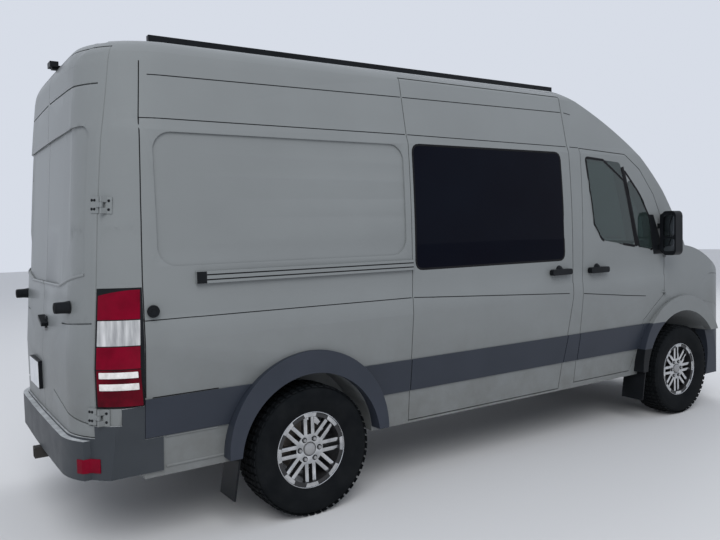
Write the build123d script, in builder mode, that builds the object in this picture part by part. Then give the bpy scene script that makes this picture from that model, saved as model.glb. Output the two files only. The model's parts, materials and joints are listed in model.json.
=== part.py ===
from build123d import *
import math
import os

# High-roof camper van on a long-wheelbase panel van body, all sizes in millimetres.
# Frame: +X to the front, +Y to the van's left, +Z up, origin on the ground under the middle of the outline.

os.makedirs("parts", exist_ok=True)

# Overall layout, lengths along the van measured from the rear axle
wheelbase = 3665.0
front_overhang = 1004.0
hitch_reach = 1350.0
roof_z = 2730.0
rear_axle_x = hitch_reach - (front_overhang + wheelbase + hitch_reach) / 2

# Body walls and gaps
wall = 90.0
glass_thickness = 12.0
panel_gap = 6.0
skin_layer = 10.0
sill_z = 405.0
floor_z = 680.0
floor_thickness = 45.0
side_sill = 160.0
hood_wall = 44.0
firewall_x = 3560.0
firewall_thickness = 40.0

# Wheels and tyres
tyre_radius = 384.0
tyre_width = 245.0
rim_radius = 223.0
front_track = 1710.0
rear_track = 1716.0
spoke_pairs = 8
bolt_circle = 130.0
bolt_count = 6
centre_bore = 84.1
stud_radius = 7.0


def at(distance):
    """Place along the van, from a distance ahead of the rear axle."""
    return rear_axle_x + distance


def both_sides():
    """The sign of Y and the word for each side of the van."""
    return ((-1, "right"), (1, "left"))


# Cross-section of the body, half width at each height
section_rows = (
    # height, half width
    (60.0, 880.0),
    (405.0, 905.0),
    (620.0, 926.0),
    (830.0, 956.0),
    (1120.0, 991.0),
    (1216.0, 989.0),
    (1230.0, 983.0),
)
side_bulge = (1700.0, 993.0)
window_top = (2195.0, 976.0)
gutter = (2250.0, 958.0)
roof_side = (2600.0, 895.0)
roof_shoulder_mid = (2655.0, 845.0)
roof_shoulder_end = (2688.0, 740.0)


def half_section(sign):
    """Outline of one side of the body section, from the bottom to the top of the roof."""
    low = [(sign * y, z) for z, y in section_rows]
    Polyline(*low)
    end = low[-1]
    top = (sign * window_top[1], window_top[0])
    ThreePointArc(end, (sign * side_bulge[1], side_bulge[0]), top)
    edge = (sign * gutter[1], gutter[0])
    Line(top, edge)
    side = (sign * roof_side[1], roof_side[0])
    Line(edge, side)
    shoulder = (sign * roof_shoulder_end[1], roof_shoulder_end[0])
    ThreePointArc(side, (sign * roof_shoulder_mid[1], roof_shoulder_mid[0]), shoulder)
    return shoulder, low[0]


# Front outline on the centre line: distance ahead of the rear axle, height
bumper_low = (4560.0, 265.0)
bumper_nose_low = (4669.0, 400.0)
bumper_nose_high = (4669.0, 610.0)
grille_low = (4640.0, 720.0)
bonnet_lip = (4585.0, 1050.0)
bonnet_mid = (4370.0, 1265.0)
scuttle = (3870.0, 1460.0)
screen_mid = (3600.0, 1850.0)
screen_top = (3190.0, 2262.0)
cap_mid = (2800.0, 2500.0)
cap_end = (2300.0, 2712.0)
nose_axis_x = 300.0

# Rear outline on the centre line
tail_low_x = -1274.0
tail_belt = (-1274.0, 1000.0)
tail_mid = (-1231.0, 1600.0)
tail_gutter = (-1184.0, 2250.0)
tail_top = (-1163.0, 2540.0)
tail_round_mid = (-1117.0, 2660.0)
tail_round_end = (-1003.0, 2722.0)
tail_bow_radius = 30000.0

# Plan outline: front corners and rear corners
nose_corner_y = 610.0
nose_corner_radius = 320.0
nose_corner_x = 4195.0
nose_bow_mid_x = 4669.0
fender_x = 3300.0
rear_corner_radius = 385.0
least_corner_radius = 20.0
rear_corner_x = -883.0
rear_corner_lean = 0.072
body_half_width = 995.0
outline_margin = 400.0
nose_block_reach = 1700.0
tail_block_reach = tail_bow_radius - 540.0


def nose_form(inset):
    """Everything behind the front outline, turned about an upright axis so that the front bows."""
    axis_x = at(nose_axis_x)
    upright = Plane(origin=(axis_x, 0, 0), x_dir=(0, -1, 0), z_dir=(-1, 0, 0))
    high = roof_z + outline_margin

    def rel(point):
        return (point[0] - nose_axis_x - inset, point[1])

    with BuildPart() as form:
        with BuildSketch(upright):
            with BuildLine():
                low_points = [rel(p) for p in (bumper_low, bumper_nose_low, bumper_nose_high, grille_low, bonnet_lip)]
                Polyline((0.0, 0.0), (low_points[0][0], 0.0), *low_points)
                ThreePointArc(rel(bonnet_lip), rel(bonnet_mid), rel(scuttle))
                ThreePointArc(rel(scuttle), rel(screen_mid), rel(screen_top))
                ThreePointArc(rel(screen_top), rel(cap_mid), rel(cap_end))
                Polyline(rel(cap_end), (nose_block_reach, roof_z + 15.0), (nose_block_reach, high), (0.0, high), (0.0, 0.0))
            make_face()
        revolve(axis=Axis((axis_x, 0, 0), (0, 0, 1)), revolution_arc=180)
        with BuildSketch(Plane.YZ.offset(at(-1700.0))):
            with Locations((0, high / 2)):
                Rectangle(2600.0, high)
        extrude(amount=1700.0 + nose_axis_x + nose_block_reach)
    return form.part


def tail_form(inset):
    """Everything ahead of the rear outline, turned about an upright axis so that the rear bows."""
    axis_x = at(tail_low_x + tail_bow_radius)
    upright = Plane(origin=(axis_x, 0, 0), x_dir=(0, 1, 0), z_dir=(1, 0, 0))
    high = roof_z + outline_margin

    def rel(point):
        return (tail_low_x + tail_bow_radius - point[0] - inset, point[1])

    with BuildPart() as form:
        with BuildSketch(upright):
            with BuildLine():
                Polyline((0.0, 0.0), (tail_bow_radius - inset, 0.0), rel(tail_belt))
                ThreePointArc(rel(tail_belt), rel(tail_mid), rel(tail_gutter))
                Line(rel(tail_gutter), rel(tail_top))
                ThreePointArc(rel(tail_top), rel(tail_round_mid), rel(tail_round_end))
                Polyline(rel(tail_round_end), (tail_block_reach, roof_z + 15.0), (tail_block_reach, high), (0.0, high), (0.0, 0.0))
            make_face()
        revolve(axis=Axis((axis_x, 0, 0), (0, 0, 1)), revolution_arc=180)
        with BuildSketch(Plane.YZ.offset(axis_x - tail_block_reach)):
            with Locations((0, high / 2)):
                Rectangle(2600.0, high)
        extrude(amount=tail_block_reach + 3500.0)
    return form.part


def plan_form(inset):
    """The plan outline of the front, with its rounded corners and bowed nose."""
    corner_x = at(nose_corner_x)
    half = math.radians(45)
    with BuildPart() as form:
        with BuildSketch():
            with BuildLine():
                for sign in (-1, 1):
                    Line((at(-1700.0), sign * body_half_width), (at(fender_x), sign * body_half_width))
                    side_end = (corner_x, sign * (nose_corner_y + nose_corner_radius))
                    Line((at(fender_x), sign * body_half_width), side_end)
                    middle = (
                        corner_x + nose_corner_radius * math.cos(half),
                        sign * (nose_corner_y + nose_corner_radius * math.sin(half)),
                    )
                    front_end = (corner_x + nose_corner_radius, sign * nose_corner_y)
                    ThreePointArc(side_end, middle, front_end)
                ThreePointArc(
                    (corner_x + nose_corner_radius, -nose_corner_y),
                    (at(nose_bow_mid_x), 0.0),
                    (corner_x + nose_corner_radius, nose_corner_y),
                )
                Line((at(-1700.0), -body_half_width), (at(-1700.0), body_half_width))
            make_face()
            if inset:
                offset(amount=-inset, kind=Kind.INTERSECTION)
        extrude(amount=roof_z + outline_margin)
    return form.part


def corner_form(inset):
    """The rounded rear corners, which lean forward with the rear doors above the belt."""
    reach = body_half_width - inset
    radius = max(rear_corner_radius - inset, least_corner_radius)
    start = (at(rear_corner_x) - rear_corner_radius + inset + radius, reach)
    end = (start[0] - radius, reach - radius)
    middle = (
        start[0] - radius * math.sin(math.radians(45)),
        reach - radius * (1 - math.cos(math.radians(45))),
    )
    with BuildPart() as form:
        with BuildSketch(Plane.XY.offset(tail_belt[1])) as plan:
            with BuildLine():
                for sign in (-1, 1):
                    Line((at(5200.0), sign * reach), (start[0], sign * start[1]))
                    ThreePointArc(
                        (start[0], sign * start[1]), (middle[0], sign * middle[1]), (end[0], sign * end[1])
                    )
                    Line((end[0], sign * end[1]), (end[0] - 260.0, sign * (end[1] - 150.0)))
                Line((end[0] - 260.0, end[1] - 150.0), (end[0] - 260.0, 150.0 - end[1]))
                Line((at(5200.0), reach), (at(5200.0), -reach))
            make_face()
        high = roof_z - tail_belt[1] + outline_margin
        extrude(plan.sketch, amount=high, dir=Vector(rear_corner_lean, 0, 1).normalized())
        extrude(plan.sketch, amount=-tail_belt[1])
    return form.part


def body_form(inset):
    """The van's outer shape, moved in by inset all round."""
    nose = nose_form(inset)
    tail = tail_form(inset)
    plan = plan_form(inset)
    corners = corner_form(inset)
    with BuildPart() as form:
        with BuildSketch(Plane.YZ.offset(at(-1600.0))):
            with BuildLine():
                ends = [half_section(sign) for sign in (-1, 1)]
                ThreePointArc(ends[0][0], (0.0, roof_z), ends[1][0])
                Line(ends[0][1], ends[1][1])
            make_face()
            if inset:
                offset(amount=-inset, kind=Kind.INTERSECTION)
        extrude(amount=6600.0)
        add(nose, mode=Mode.INTERSECT)
        add(tail, mode=Mode.INTERSECT)
        add(plan, mode=Mode.INTERSECT)
        add(corners, mode=Mode.INTERSECT)
    return form.part


def side_prism(points, sign, inner_y, outer_y, grow=0.0, corner=0.0):
    """A block with an outline seen from the side, between two distances from the middle of the van."""
    near = inner_y if sign < 0 else -outer_y
    with BuildPart() as prism:
        with BuildSketch(Plane.XZ.offset(near)) as face:
            with BuildLine():
                Polyline(*[(at(x), z) for x, z in points], close=True)
            make_face()
            if corner:
                fillet(face.vertices(), corner)
            if grow:
                offset(amount=grow, kind=Kind.INTERSECTION)
        extrude(amount=outer_y - inner_y)
    return prism.part


def slab(x_low, x_high, z_low, z_high, half_width=1300.0, y_low=None):
    """A plain block used to cut or keep a stretch of the van, from distances ahead of the rear axle."""
    low = -half_width if y_low is None else y_low
    with BuildPart() as block:
        with Locations((at((x_low + x_high) / 2), (low + half_width) / 2, (z_low + z_high) / 2)):
            Box(x_high - x_low, half_width - low, z_high - z_low)
    return block.part


def drum(x, z, radius, sign, inner_y, outer_y):
    """A cylinder lying across the van on one side."""
    near = inner_y if sign < 0 else -outer_y
    with BuildPart() as block:
        with BuildSketch(Plane.XZ.offset(near)):
            with Locations((at(x), z)):
                Circle(radius)
        extrude(amount=outer_y - inner_y)
    return block.part


def between(shape, *limits):
    """The stretch of a shape that lies inside all the limits."""
    with BuildPart() as kept:
        add(shape)
        for limit in limits:
            add(limit, mode=Mode.INTERSECT)
    return kept.part


def without(shape, *cutters):
    """A shape with the cutters taken away."""
    with BuildPart() as cut:
        add(shape)
        for cutter in cutters:
            add(cutter, mode=Mode.SUBTRACT)
    return cut.part


def save(shape, name):
    """Label a finished piece and write it to its own file."""
    shape.label = name
    export_step(shape, f"parts/{name}.step")


# Outlines seen from the side, from points that are a distance ahead of the rear axle and a height
slide_rear_x = 748.0
slide_front_x = 2260.0
slide_outline = (
    (slide_rear_x, 425.0),
    (2166.0, 425.0),
    (2225.0, 830.0),
    (slide_front_x, 1150.0),
    (slide_front_x - 30.0, 2616.0),
    (slide_rear_x, 2616.0),
)
slide_window = ((775.0, 1402.0), (2165.0, 1402.0), (2140.0, 2190.0), (775.0, 2190.0))
front_door_outline = (
    (2345.0, 450.0),
    (3020.0, 450.0),
    (3110.0, 640.0),
    (3150.0, 860.0),
    (3300.0, 985.0),
    (3398.0, 1060.0),
    (3398.0, 1400.0),
    (3360.0, 1680.0),
    (3250.0, 1890.0),
    (3080.0, 2090.0),
    (2900.0, 2205.0),
    (2372.0, 2232.0),
    (2372.0, 860.0),
)
door_window_rear = ((2600.0, 1535.0), (3015.0, 1475.0), (2835.0, 2140.0), (2425.0, 2168.0), (2500.0, 1660.0))
door_window_front = ((3055.0, 1468.0), (3245.0, 1440.0), (3205.0, 1690.0), (3060.0, 1905.0), (2880.0, 2085.0))
recess_outline = ((-870.0, 1500.0), (700.0, 1500.0), (700.0, 2185.0), (-870.0, 2185.0))
recess_corner = 100.0

# Wheel arches
rear_arch_radius = 457.0
rear_arch_inner_y = 690.0
front_arch_radius = 515.0
front_arch_inner_y = 470.0
arch_skin = 25.0
axle_room = 500.0
arch_places = (
    # distance ahead of the rear axle, radius, inner distance from the middle
    (0.0, rear_arch_radius, rear_arch_inner_y),
    (wheelbase, front_arch_radius, front_arch_inner_y),
)

# Regions of the ends
bumper_top_front = 690.0
bumper_rear_x = 4020.0
rear_bumper_top = 640.0
rear_bumper_low = 437.0
rear_bumper_front_x = -955.0
rear_door_half = 857.0
rear_door_low = 655.0
rear_door_high = 2630.0
rear_door_reach = (
    (-1024.0, rear_door_low),
    (-1024.0, 1000.0),
    (-925.0, 2400.0),
    (-1045.0, 2540.0),
    (-1045.0, rear_door_high),
)
split_gap = 6.0
lamp_low = 800.0
lamp_high = 1400.0
lamp_inner_y = rear_door_half + panel_gap
lamp_front_x = -955.0

outer = body_form(0.0)
grown = body_form(-skin_layer)
glass_core = body_form(glass_thickness)
lining = body_form(wall)
lining_gap = body_form(wall + panel_gap)
hood_core = body_form(hood_wall)
sill_core = body_form(side_sill)

walls = without(outer, lining)
glass_layer = without(outer, glass_core)
cladding_layer = without(grown, outer)


# Rear doors: the part of the walls behind the rear corners, split on the middle line
def rear_door_region(grow):
    half = rear_door_half + grow
    outline = ((-1500.0, rear_door_low), *rear_door_reach, (-1500.0, rear_door_high))
    return side_prism(outline, -1, -half, half, grow)


# Bonnet outline from above and the other openings of the nose
bonnet_outline = ((3885.0, 800.0), (4250.0, 775.0), (4600.0, 640.0))
bonnet_low_z = 1020.0


def bonnet_region(grow):
    points = [(at(x), y) for x, y in bonnet_outline]
    with BuildPart() as region:
        with BuildSketch(Plane.XY.offset(bonnet_low_z - grow)):
            with BuildLine():
                Polyline(*points, *[(x, -y) for x, y in reversed(points)], close=True)
            make_face()
            if grow:
                offset(amount=grow, kind=Kind.INTERSECTION)
        extrude(amount=700.0)
    return region.part


def front_prism(points, x_low, x_high, mirrored=True, corner=0.0, grow=0.0):
    """A block with an outline seen from the front, on both sides if it is mirrored."""
    with BuildPart() as prism:
        with BuildSketch(Plane.YZ.offset(at(x_low))) as face:
            with BuildLine():
                Polyline(*points, close=True)
            make_face()
            if corner:
                fillet(face.vertices(), corner)
            if grow:
                offset(amount=grow, kind=Kind.INTERSECTION)
            if mirrored:
                mirror(about=Plane.YZ)
        extrude(amount=x_high - x_low)
    return prism.part


windscreen_outline = ((-835.0, 1510.0), (835.0, 1510.0), (790.0, 2215.0), (-790.0, 2215.0))
headlamp_outline = (
    (600.0, 760.0),
    (880.0, 800.0),
    (960.0, 1010.0),
    (930.0, 1190.0),
    (790.0, 1130.0),
    (660.0, 960.0),
)
grille_outline = ((-560.0, 745.0), (560.0, 745.0), (610.0, 1005.0), (-610.0, 1005.0))
seam = panel_gap / 2
glass_gap = 1.0

windscreen_hole = front_prism(windscreen_outline, 2700.0, 4100.0, mirrored=False, corner=70.0)
windscreen_pane = front_prism(windscreen_outline, 2700.0, 4100.0, mirrored=False, corner=70.0, grow=-glass_gap)
headlamp_hole = front_prism(headlamp_outline, 4050.0, 4700.0, grow=seam)
headlamp_block = front_prism(headlamp_outline, 4050.0, 4700.0)
grille_hole = front_prism(grille_outline, 4300.0, 4700.0, mirrored=False, grow=glass_gap)
grille_block = front_prism(grille_outline, 4300.0, 4700.0, mirrored=False)

# Body shell
cabin_low = slab(-1600.0, firewall_x, floor_z, 1420.0)
cabin_high = slab(-1600.0, 3900.0, 1400.0, 3000.0)
wheelhouses = []
arches = []
for x, radius, inner_y in arch_places:
    for sign, side in both_sides():
        wheelhouses.append(drum(x, tyre_radius, radius + arch_skin, sign, inner_y - arch_skin, 1000.0))
        arches.append(drum(x, tyre_radius, radius, sign, inner_y, 1400.0))

cabin = without(between(lining, cabin_low), *wheelhouses)
bay_space = slab(firewall_x + firewall_thickness, 4700.0, 0.0, 1360.0)
engine_bay = without(between(hood_core, bay_space), *wheelhouses)
under_floor = slab(-1600.0, firewall_x + 50.0, 0.0, floor_z - floor_thickness)
underside = without(between(sill_core, under_floor), *wheelhouses)
axle_opening = slab(-axle_room, axle_room, 0.0, floor_z - 100.0, 740.0)
chin = slab(bumper_rear_x, 5000.0, 265.0, bumper_top_front - 4.0)

shell = without(
    outer,
    cabin,
    between(lining, cabin_high),
    engine_bay,
    underside,
    slab(-1600.0, bumper_rear_x, 0.0, sill_z),
    slab(bumper_rear_x - 5.0, 5000.0, 0.0, bumper_top_front),
    slab(-1600.0, rear_bumper_front_x - 3.0, 0.0, rear_bumper_top),
    *arches,
    axle_opening,
)
door_cuts = []
for sign, side in both_sides():
    door_cuts.append(without(side_prism(front_door_outline, sign, 600.0, 1100.0, panel_gap), lining_gap))
door_cuts.append(without(side_prism(slide_outline, -1, 600.0, 1100.0, panel_gap), lining_gap))
left_window_hole = side_prism(slide_window, 1, 700.0, 1100.0, corner=60.0)
tail_gate_hole = without(rear_door_region(panel_gap), lining_gap)
recesses = [
    without(side_prism(recess_outline, sign, 900.0, 1100.0, corner=recess_corner), glass_core) for sign in (-1, 1)
]
shell = without(
    shell,
    *recesses,
    *door_cuts,
    left_window_hole,
    tail_gate_hole,
    between(rear_door_region(panel_gap), slab(-1600.0, -900.0, rear_door_low - panel_gap, 2620.0)),
    windscreen_hole,
    without(bonnet_region(panel_gap), hood_core),
    headlamp_hole,
    grille_hole,
)
lamp_block = between(walls, slab(-1300.0, lamp_front_x, lamp_low, lamp_high))
lamps = without(lamp_block, slab(-1600.0, 0.0, 0.0, 3000.0, lamp_inner_y))
lamp_hole = slab(-1300.0, lamp_front_x + 2.0, lamp_low - 2.0, lamp_high + 2.0)
shell = without(shell, without(lamp_hole, slab(-1600.0, 0.0, 0.0, 3000.0, lamp_inner_y - 2.0)))

save(lamps, "tail_lamps")

# Reversing camera on the roof's rear edge
with BuildPart() as rear_camera:
    with Locations((at(-1120.0), -60.0, 2668.0)):
        Box(130.0, 60.0, 34.0)
    with Locations((at(-1170.0), -60.0, 2690.0)):
        Box(70.0, 120.0, 46.0)
save(without(rear_camera.part, outer), "rear_camera")

# Number plate holder on the left rear door, its pivots and fittings
plate_centre_y = 205.0
plate_z = 845.0
plate_size = (310.0, 170.0)
plate_depth = (-1296.0, -1250.0)
hinge_y = 900.0
hinge_places = ((-1169.0, 759.0), (-1110.0, 1818.0))
hinge_pin_radius = 6.0
hinge_knuckle_radius = 13.0
hinge_clearance = 0.1
hinge_half_height = 42.0
hinge_door_half = 12.0
hinge_body_low = 14.0
buffer_y = 675.0
buffer_z = 1303.0
buffer_reach = 72.0
buffer_sink = 35.0
socket_place = (-905.0, 1278.0)
socket_radius = 24.0
rear_handle_y = 110.0
rear_handle_z = 1190.0


def plate_block(grow):
    """Number plate holder, let into the skin of the door."""
    with BuildPart() as block:
        with Locations((at((plate_depth[0] + plate_depth[1]) / 2), plate_centre_y, plate_z)):
            Box(plate_depth[1] - plate_depth[0], plate_size[0] + grow, plate_size[1] + grow)
    return block.part


# Hinges of the rear doors: leaves in a plane across the axis, which leans with the corners of the body
hinge_rise = hinge_places[1][1] - hinge_places[0][1]
hinge_lean = Vector(hinge_places[1][0] - hinge_places[0][0], 0, hinge_rise).normalized()
door_plate = ((-67.4, -115.5), (-36.7, -64.2), (-19.5, -41.7), (-9.0, -56.0), (-49.0, -130.0))
door_arm = ((-36.7, -64.2), (-9.3, 9.3), (9.3, -9.3), (-22.0, -46.0), (-14.0, -58.0))
body_plate = ((28.0, 8.0), (77.5, 43.5), (89.0, 25.0), (41.0, -7.0), (30.0, -10.0))
body_arm = ((-9.3, 9.3), (5.0, 12.0), (40.0, 16.5), (41.0, -7.0), (9.3, -9.3))


def hinge_plane(sign, place, height):
    """A plane across the axis of a rear hinge, at a height along the axis from the middle of the hinge."""
    across = Vector(hinge_lean.Z, 0, -hinge_lean.X)
    return Plane(origin=(at(place[0]), sign * hinge_y, place[1]), x_dir=across, z_dir=hinge_lean).offset(height)


def hinge_leaf(sign, place, points, low, high, radius=0.0):
    """A slice of a hinge leaf: an outline across the axis, a round knuckle on the axis, or both."""
    with BuildPart() as leaf:
        with BuildSketch(hinge_plane(sign, place, low)):
            if points:
                with BuildLine():
                    Polyline(*[(x, sign * y) for x, y in points], close=True)
                make_face()
            if radius:
                Circle(radius)
        extrude(amount=high - low)
    return leaf.part


# Hinges of the cab doors, on an upright axis just outside the front edge of each door
cab_hinge_x = 3398.0
cab_hinge_y = 1000.0
cab_hinge_heights = (1062.0, 1372.0)
cab_pin_radius = 5.0
cab_leaf = 12.0
cab_leaf_outline = (
    (-9.0, -2.0),
    (-5.0, 8.0),
    (5.0, 9.0),
    (16.0, 4.0),
    (40.0, -40.0),
    (9.0, -40.0),
    (8.0, -12.0),
    (-4.0, -9.0),
)


def cab_hinge(sign, z, forward, pin):
    """One leaf of a cab door hinge: it reaches ahead of its axis to the body, or back to the door."""
    points = [(at(cab_hinge_x) + forward * x, sign * (cab_hinge_y + y)) for x, y in cab_leaf_outline]
    with BuildPart() as leaf:
        with BuildSketch(Plane.XY.offset(z)):
            with BuildLine():
                Polyline(*points, close=True)
            make_face()
        extrude(amount=cab_leaf)
        with BuildSketch(Plane.XY.offset(z)):
            with Locations((at(cab_hinge_x), sign * cab_hinge_y)):
                Circle(cab_pin_radius if pin else cab_pin_radius + hinge_clearance)
        extrude(amount=2 * cab_leaf + 1.0 if pin else cab_leaf, mode=Mode.ADD if pin else Mode.SUBTRACT)
    return leaf.part


with BuildPart() as body_shell:
    add(shell)
    for sign, side in both_sides():
        for z in cab_hinge_heights:
            add(cab_hinge(sign, z, 1.0, True))
shell = body_shell.part
save(shell, "body_shell")

# Pressed panel and grooves of the rear doors, as deep as the glass is thick
rear_panel_outline = (
    (-796.0, 1470.0),
    (-434.0, 1407.0),
    (434.0, 1407.0),
    (796.0, 1470.0),
    (796.0, 2225.0),
    (-796.0, 2225.0),
)
groove_half = 4.0
rear_grooves = (
    # from distance from the middle and height, to distance and height
    (300.0, 818.0, 845.0, 714.0),
    (520.0, 1208.0, 845.0, 1226.0),
    (20.0, 2450.0, 820.0, 2436.0),
)
rear_panel = front_prism(rear_panel_outline, -1500.0, -900.0, mirrored=False, corner=60.0)
door_recesses = [without(rear_panel, glass_core)]
for y_from, z_from, y_to, z_to in rear_grooves:
    strip = (
        (y_from, z_from - groove_half),
        (y_to, z_to - groove_half),
        (y_to, z_to + groove_half),
        (y_from, z_from + groove_half),
    )
    door_recesses.append(without(front_prism(strip, -1500.0, -900.0), glass_core))

# Doors on each side, with their glass cut from the outer layer of the wall
for sign, side in both_sides():
    block = side_prism(front_door_outline, sign, 600.0, 1100.0)
    outlines = (door_window_rear, door_window_front)
    holes = [side_prism(points, sign, 600.0, 1100.0, corner=35.0) for points in outlines]
    panes = [side_prism(points, sign, 600.0, 1100.0, grow=-glass_gap, corner=35.0) for points in outlines]
    with BuildPart() as front_door:
        add(without(between(walls, block), *holes))
        for z in cab_hinge_heights:
            add(cab_hinge(sign, z + cab_leaf + 1.0, -1.0, False))
    save(front_door.part, f"front_door_{side}")
    with BuildPart() as glass:
        for pane in panes:
            add(between(glass_layer, pane))
    save(glass.part, f"door_glass_{side}")
    half_rear = slab(-1600.0, 0.0, 0.0, 3000.0, 1300.0, split_gap / 2)
    if sign < 0:
        half_rear = mirror(half_rear, about=Plane.XZ)
    rear_door = without(between(walls, rear_door_region(0.0), half_rear), *door_recesses)
    if sign > 0:
        rear_door = without(rear_door, plate_block(0.0))
    save(rear_door, f"rear_door_{side}")

slide_hole = side_prism(slide_window, -1, 700.0, 1100.0, corner=60.0)
sliding_door = without(between(walls, side_prism(slide_outline, -1, 600.0, 1100.0)), slide_hole)
save(sliding_door, "sliding_door")

with BuildPart() as side_windows:
    for sign in (-1, 1):
        add(between(glass_layer, side_prism(slide_window, sign, 700.0, 1100.0, grow=-glass_gap, corner=60.0)))
save(side_windows.part, "side_windows")

windscreen = between(glass_layer, windscreen_pane)
save(windscreen, "windscreen")

bonnet = between(without(outer, hood_core), bonnet_region(0.0))
save(bonnet, "bonnet")
save(without(between(walls, headlamp_block), bonnet_region(panel_gap)), "headlamps")
save(between(without(outer, hood_core), grille_block), "front_grille")
front_bumper = without(between(walls, chin), *arches)
save(front_bumper, "front_bumper")

# Front bumper underside and the rear bumper with its step
step_form = body_form(-40.0)
step_top = rear_bumper_top - 3.0
corner_space = slab(-1600.0, rear_bumper_front_x - 3.0, rear_bumper_low, step_top)
corner_pieces = between(without(grown, lining), corner_space)
step_bar = between(without(step_form, lining), slab(-1600.0, -1080.0, rear_bumper_low, step_top, 840.0))
corner_skin_front_x = -862.0
hinge_notch = slab(-1600.0, -1070.0, 712.0, 900.0)
upright_skin = without(
    between(cladding_layer, slab(-1600.0, rear_bumper_front_x - 3.0, rear_bumper_low, lamp_low - 3.0)),
    hinge_notch,
    rear_door_region(panel_gap),
)
low_skin = between(cladding_layer, slab(rear_bumper_front_x - 6.0, corner_skin_front_x, rear_bumper_low, 619.0))
with BuildPart() as rear_bumper:
    add(corner_pieces)
    add(upright_skin)
    add(low_skin)
    add(step_bar)
save(rear_bumper.part, "rear_bumper")

# Cladding strips along the sides and the trims round the wheel arches
cladding_low = 622.0
cladding_high = 828.0
arch_trims_table = (
    # distance ahead of the rear axle, outer radius, height of its centre, opening radius
    (0.0, 526.0, 449.0, rear_arch_radius),
    (wheelbase, 575.0, 455.0, front_arch_radius),
)
trim_face_y = 1003.0
trim_low_z = 435.0
strips = between(cladding_layer, slab(rear_bumper_front_x, 3230.0, cladding_low, cladding_high))
trim_discs = []
for x, radius, z, opening in arch_trims_table:
    for sign in (-1, 1):
        trim_discs.append(drum(x, z, radius, sign, 880.0, 1100.0))
door_blocks = [side_prism(front_door_outline, sign, 600.0, 1100.0, panel_gap) for sign in (-1, 1)]
slide_seams = without(
    side_prism(slide_outline, -1, 600.0, 1100.0, panel_gap), side_prism(slide_outline, -1, 600.0, 1100.0)
)
save(without(strips, *trim_discs, *door_blocks, slide_seams), "side_cladding")

with BuildPart() as arch_trims:
    for x, radius, z, opening in arch_trims_table:
        for sign, side in both_sides():
            disc = drum(x, z, radius, sign, 890.0, trim_face_y)
            hole = drum(x, tyre_radius, opening, sign, 600.0, 1200.0)
            keep = slab(x - 800.0, x + 800.0, trim_low_z, 1200.0)
            if x > 0:
                front_cut = slab(bumper_rear_x - 6.0, 5000.0, 0.0, bumper_top_front + 4.0)
                add(without(between(disc, keep), hole, outer, front_cut))
            else:
                add(without(between(disc, keep), hole, outer))
save(arch_trims.part, "arch_trims")

with BuildPart() as mud_flaps:
    for x, low, high in ((-478.0, 235.0, 500.0), (3130.0, 250.0, 480.0)):
        for sign in (-1, 1):
            with Locations((at(x), sign * 880.0, (low + high) / 2)):
                Box(12.0, 200.0, high - low)
save(without(mud_flaps.part, shell, arch_trims.part), "mud_flaps")

# Sliding door rail on the right side
track_ends = (-677.0, slide_rear_x - panel_gap)
track_heights = (1402.0, 1466.0)
track_points = (
    (track_ends[0], track_heights[0]),
    (track_ends[1], track_heights[0]),
    (track_ends[1], track_heights[1]),
    (track_ends[0], track_heights[1]),
)
door_rail = without(side_prism(track_points, -1, 900.0, 1012.0), outer)
save(door_rail, "door_rail")

# Roof rack: two rails with three cross bars
rack_rail_y = 620.0
rack_ends = (-760.0, 2450.0)
rack_section = 38.0
rack_z = 2738.0
with BuildPart() as roof_rack:
    for sign in (-1, 1):
        with Locations((at(sum(rack_ends) / 2), sign * rack_rail_y, rack_z)):
            Box(rack_ends[1] - rack_ends[0], rack_section, rack_section)
    for x in (-600.0, 850.0, 2300.0):
        with Locations((at(x), 0, rack_z + 8.0)):
            Box(60.0, 2 * rack_rail_y, 22.0)
        for sign in (-1, 1):
            with Locations((at(x), sign * rack_rail_y, rack_z - 30.0)):
                Box(90.0, 46.0, 60.0)
save(without(roof_rack.part, outer), "roof_rack")

# Handles, cladding on the front doors and mirrors
handle_size = (190.0, 46.0, 34.0)
front_handle = (2530.0, 1345.0)
slide_handle = (2105.0, 1350.0)


def side_handle(place, sign):
    """A pull handle standing out from the side of the van."""
    with BuildPart() as handle:
        with Locations((at(place[0]), sign * 1003.0, place[1])):
            Box(handle_size[0], handle_size[1], handle_size[2])
        fillet(handle.edges().filter_by(Axis.Y), 14.0)
    return without(handle.part, outer)


for sign, side in both_sides():
    door_block = side_prism(front_door_outline, sign, 600.0, 1100.0)
    strip = between(cladding_layer, slab(2300.0, 3300.0, cladding_low, cladding_high), door_block)
    with BuildPart() as door_trim:
        add(strip)
        add(side_handle(front_handle, sign))
    save(door_trim.part, f"door_trim_{side}")
save(side_handle(slide_handle, -1), "slide_handle")

mirror_centre = (3335.0, 1105.0, 1572.0)
mirror_size = (95.0, 160.0, 360.0)
for sign, side in both_sides():
    with BuildPart() as head:
        with Locations((at(mirror_centre[0]), sign * mirror_centre[1], mirror_centre[2])):
            Box(*mirror_size)
        fillet(head.edges().filter_by(Axis.X), 45.0)
        for drop in (-115.0, 60.0):
            with Locations((at(mirror_centre[0] - 10.0), sign * 985.0, mirror_centre[2] + drop)):
                Box(50.0, 140.0, 40.0)
    save(without(head.part, outer), f"mirror_{side}")

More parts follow.
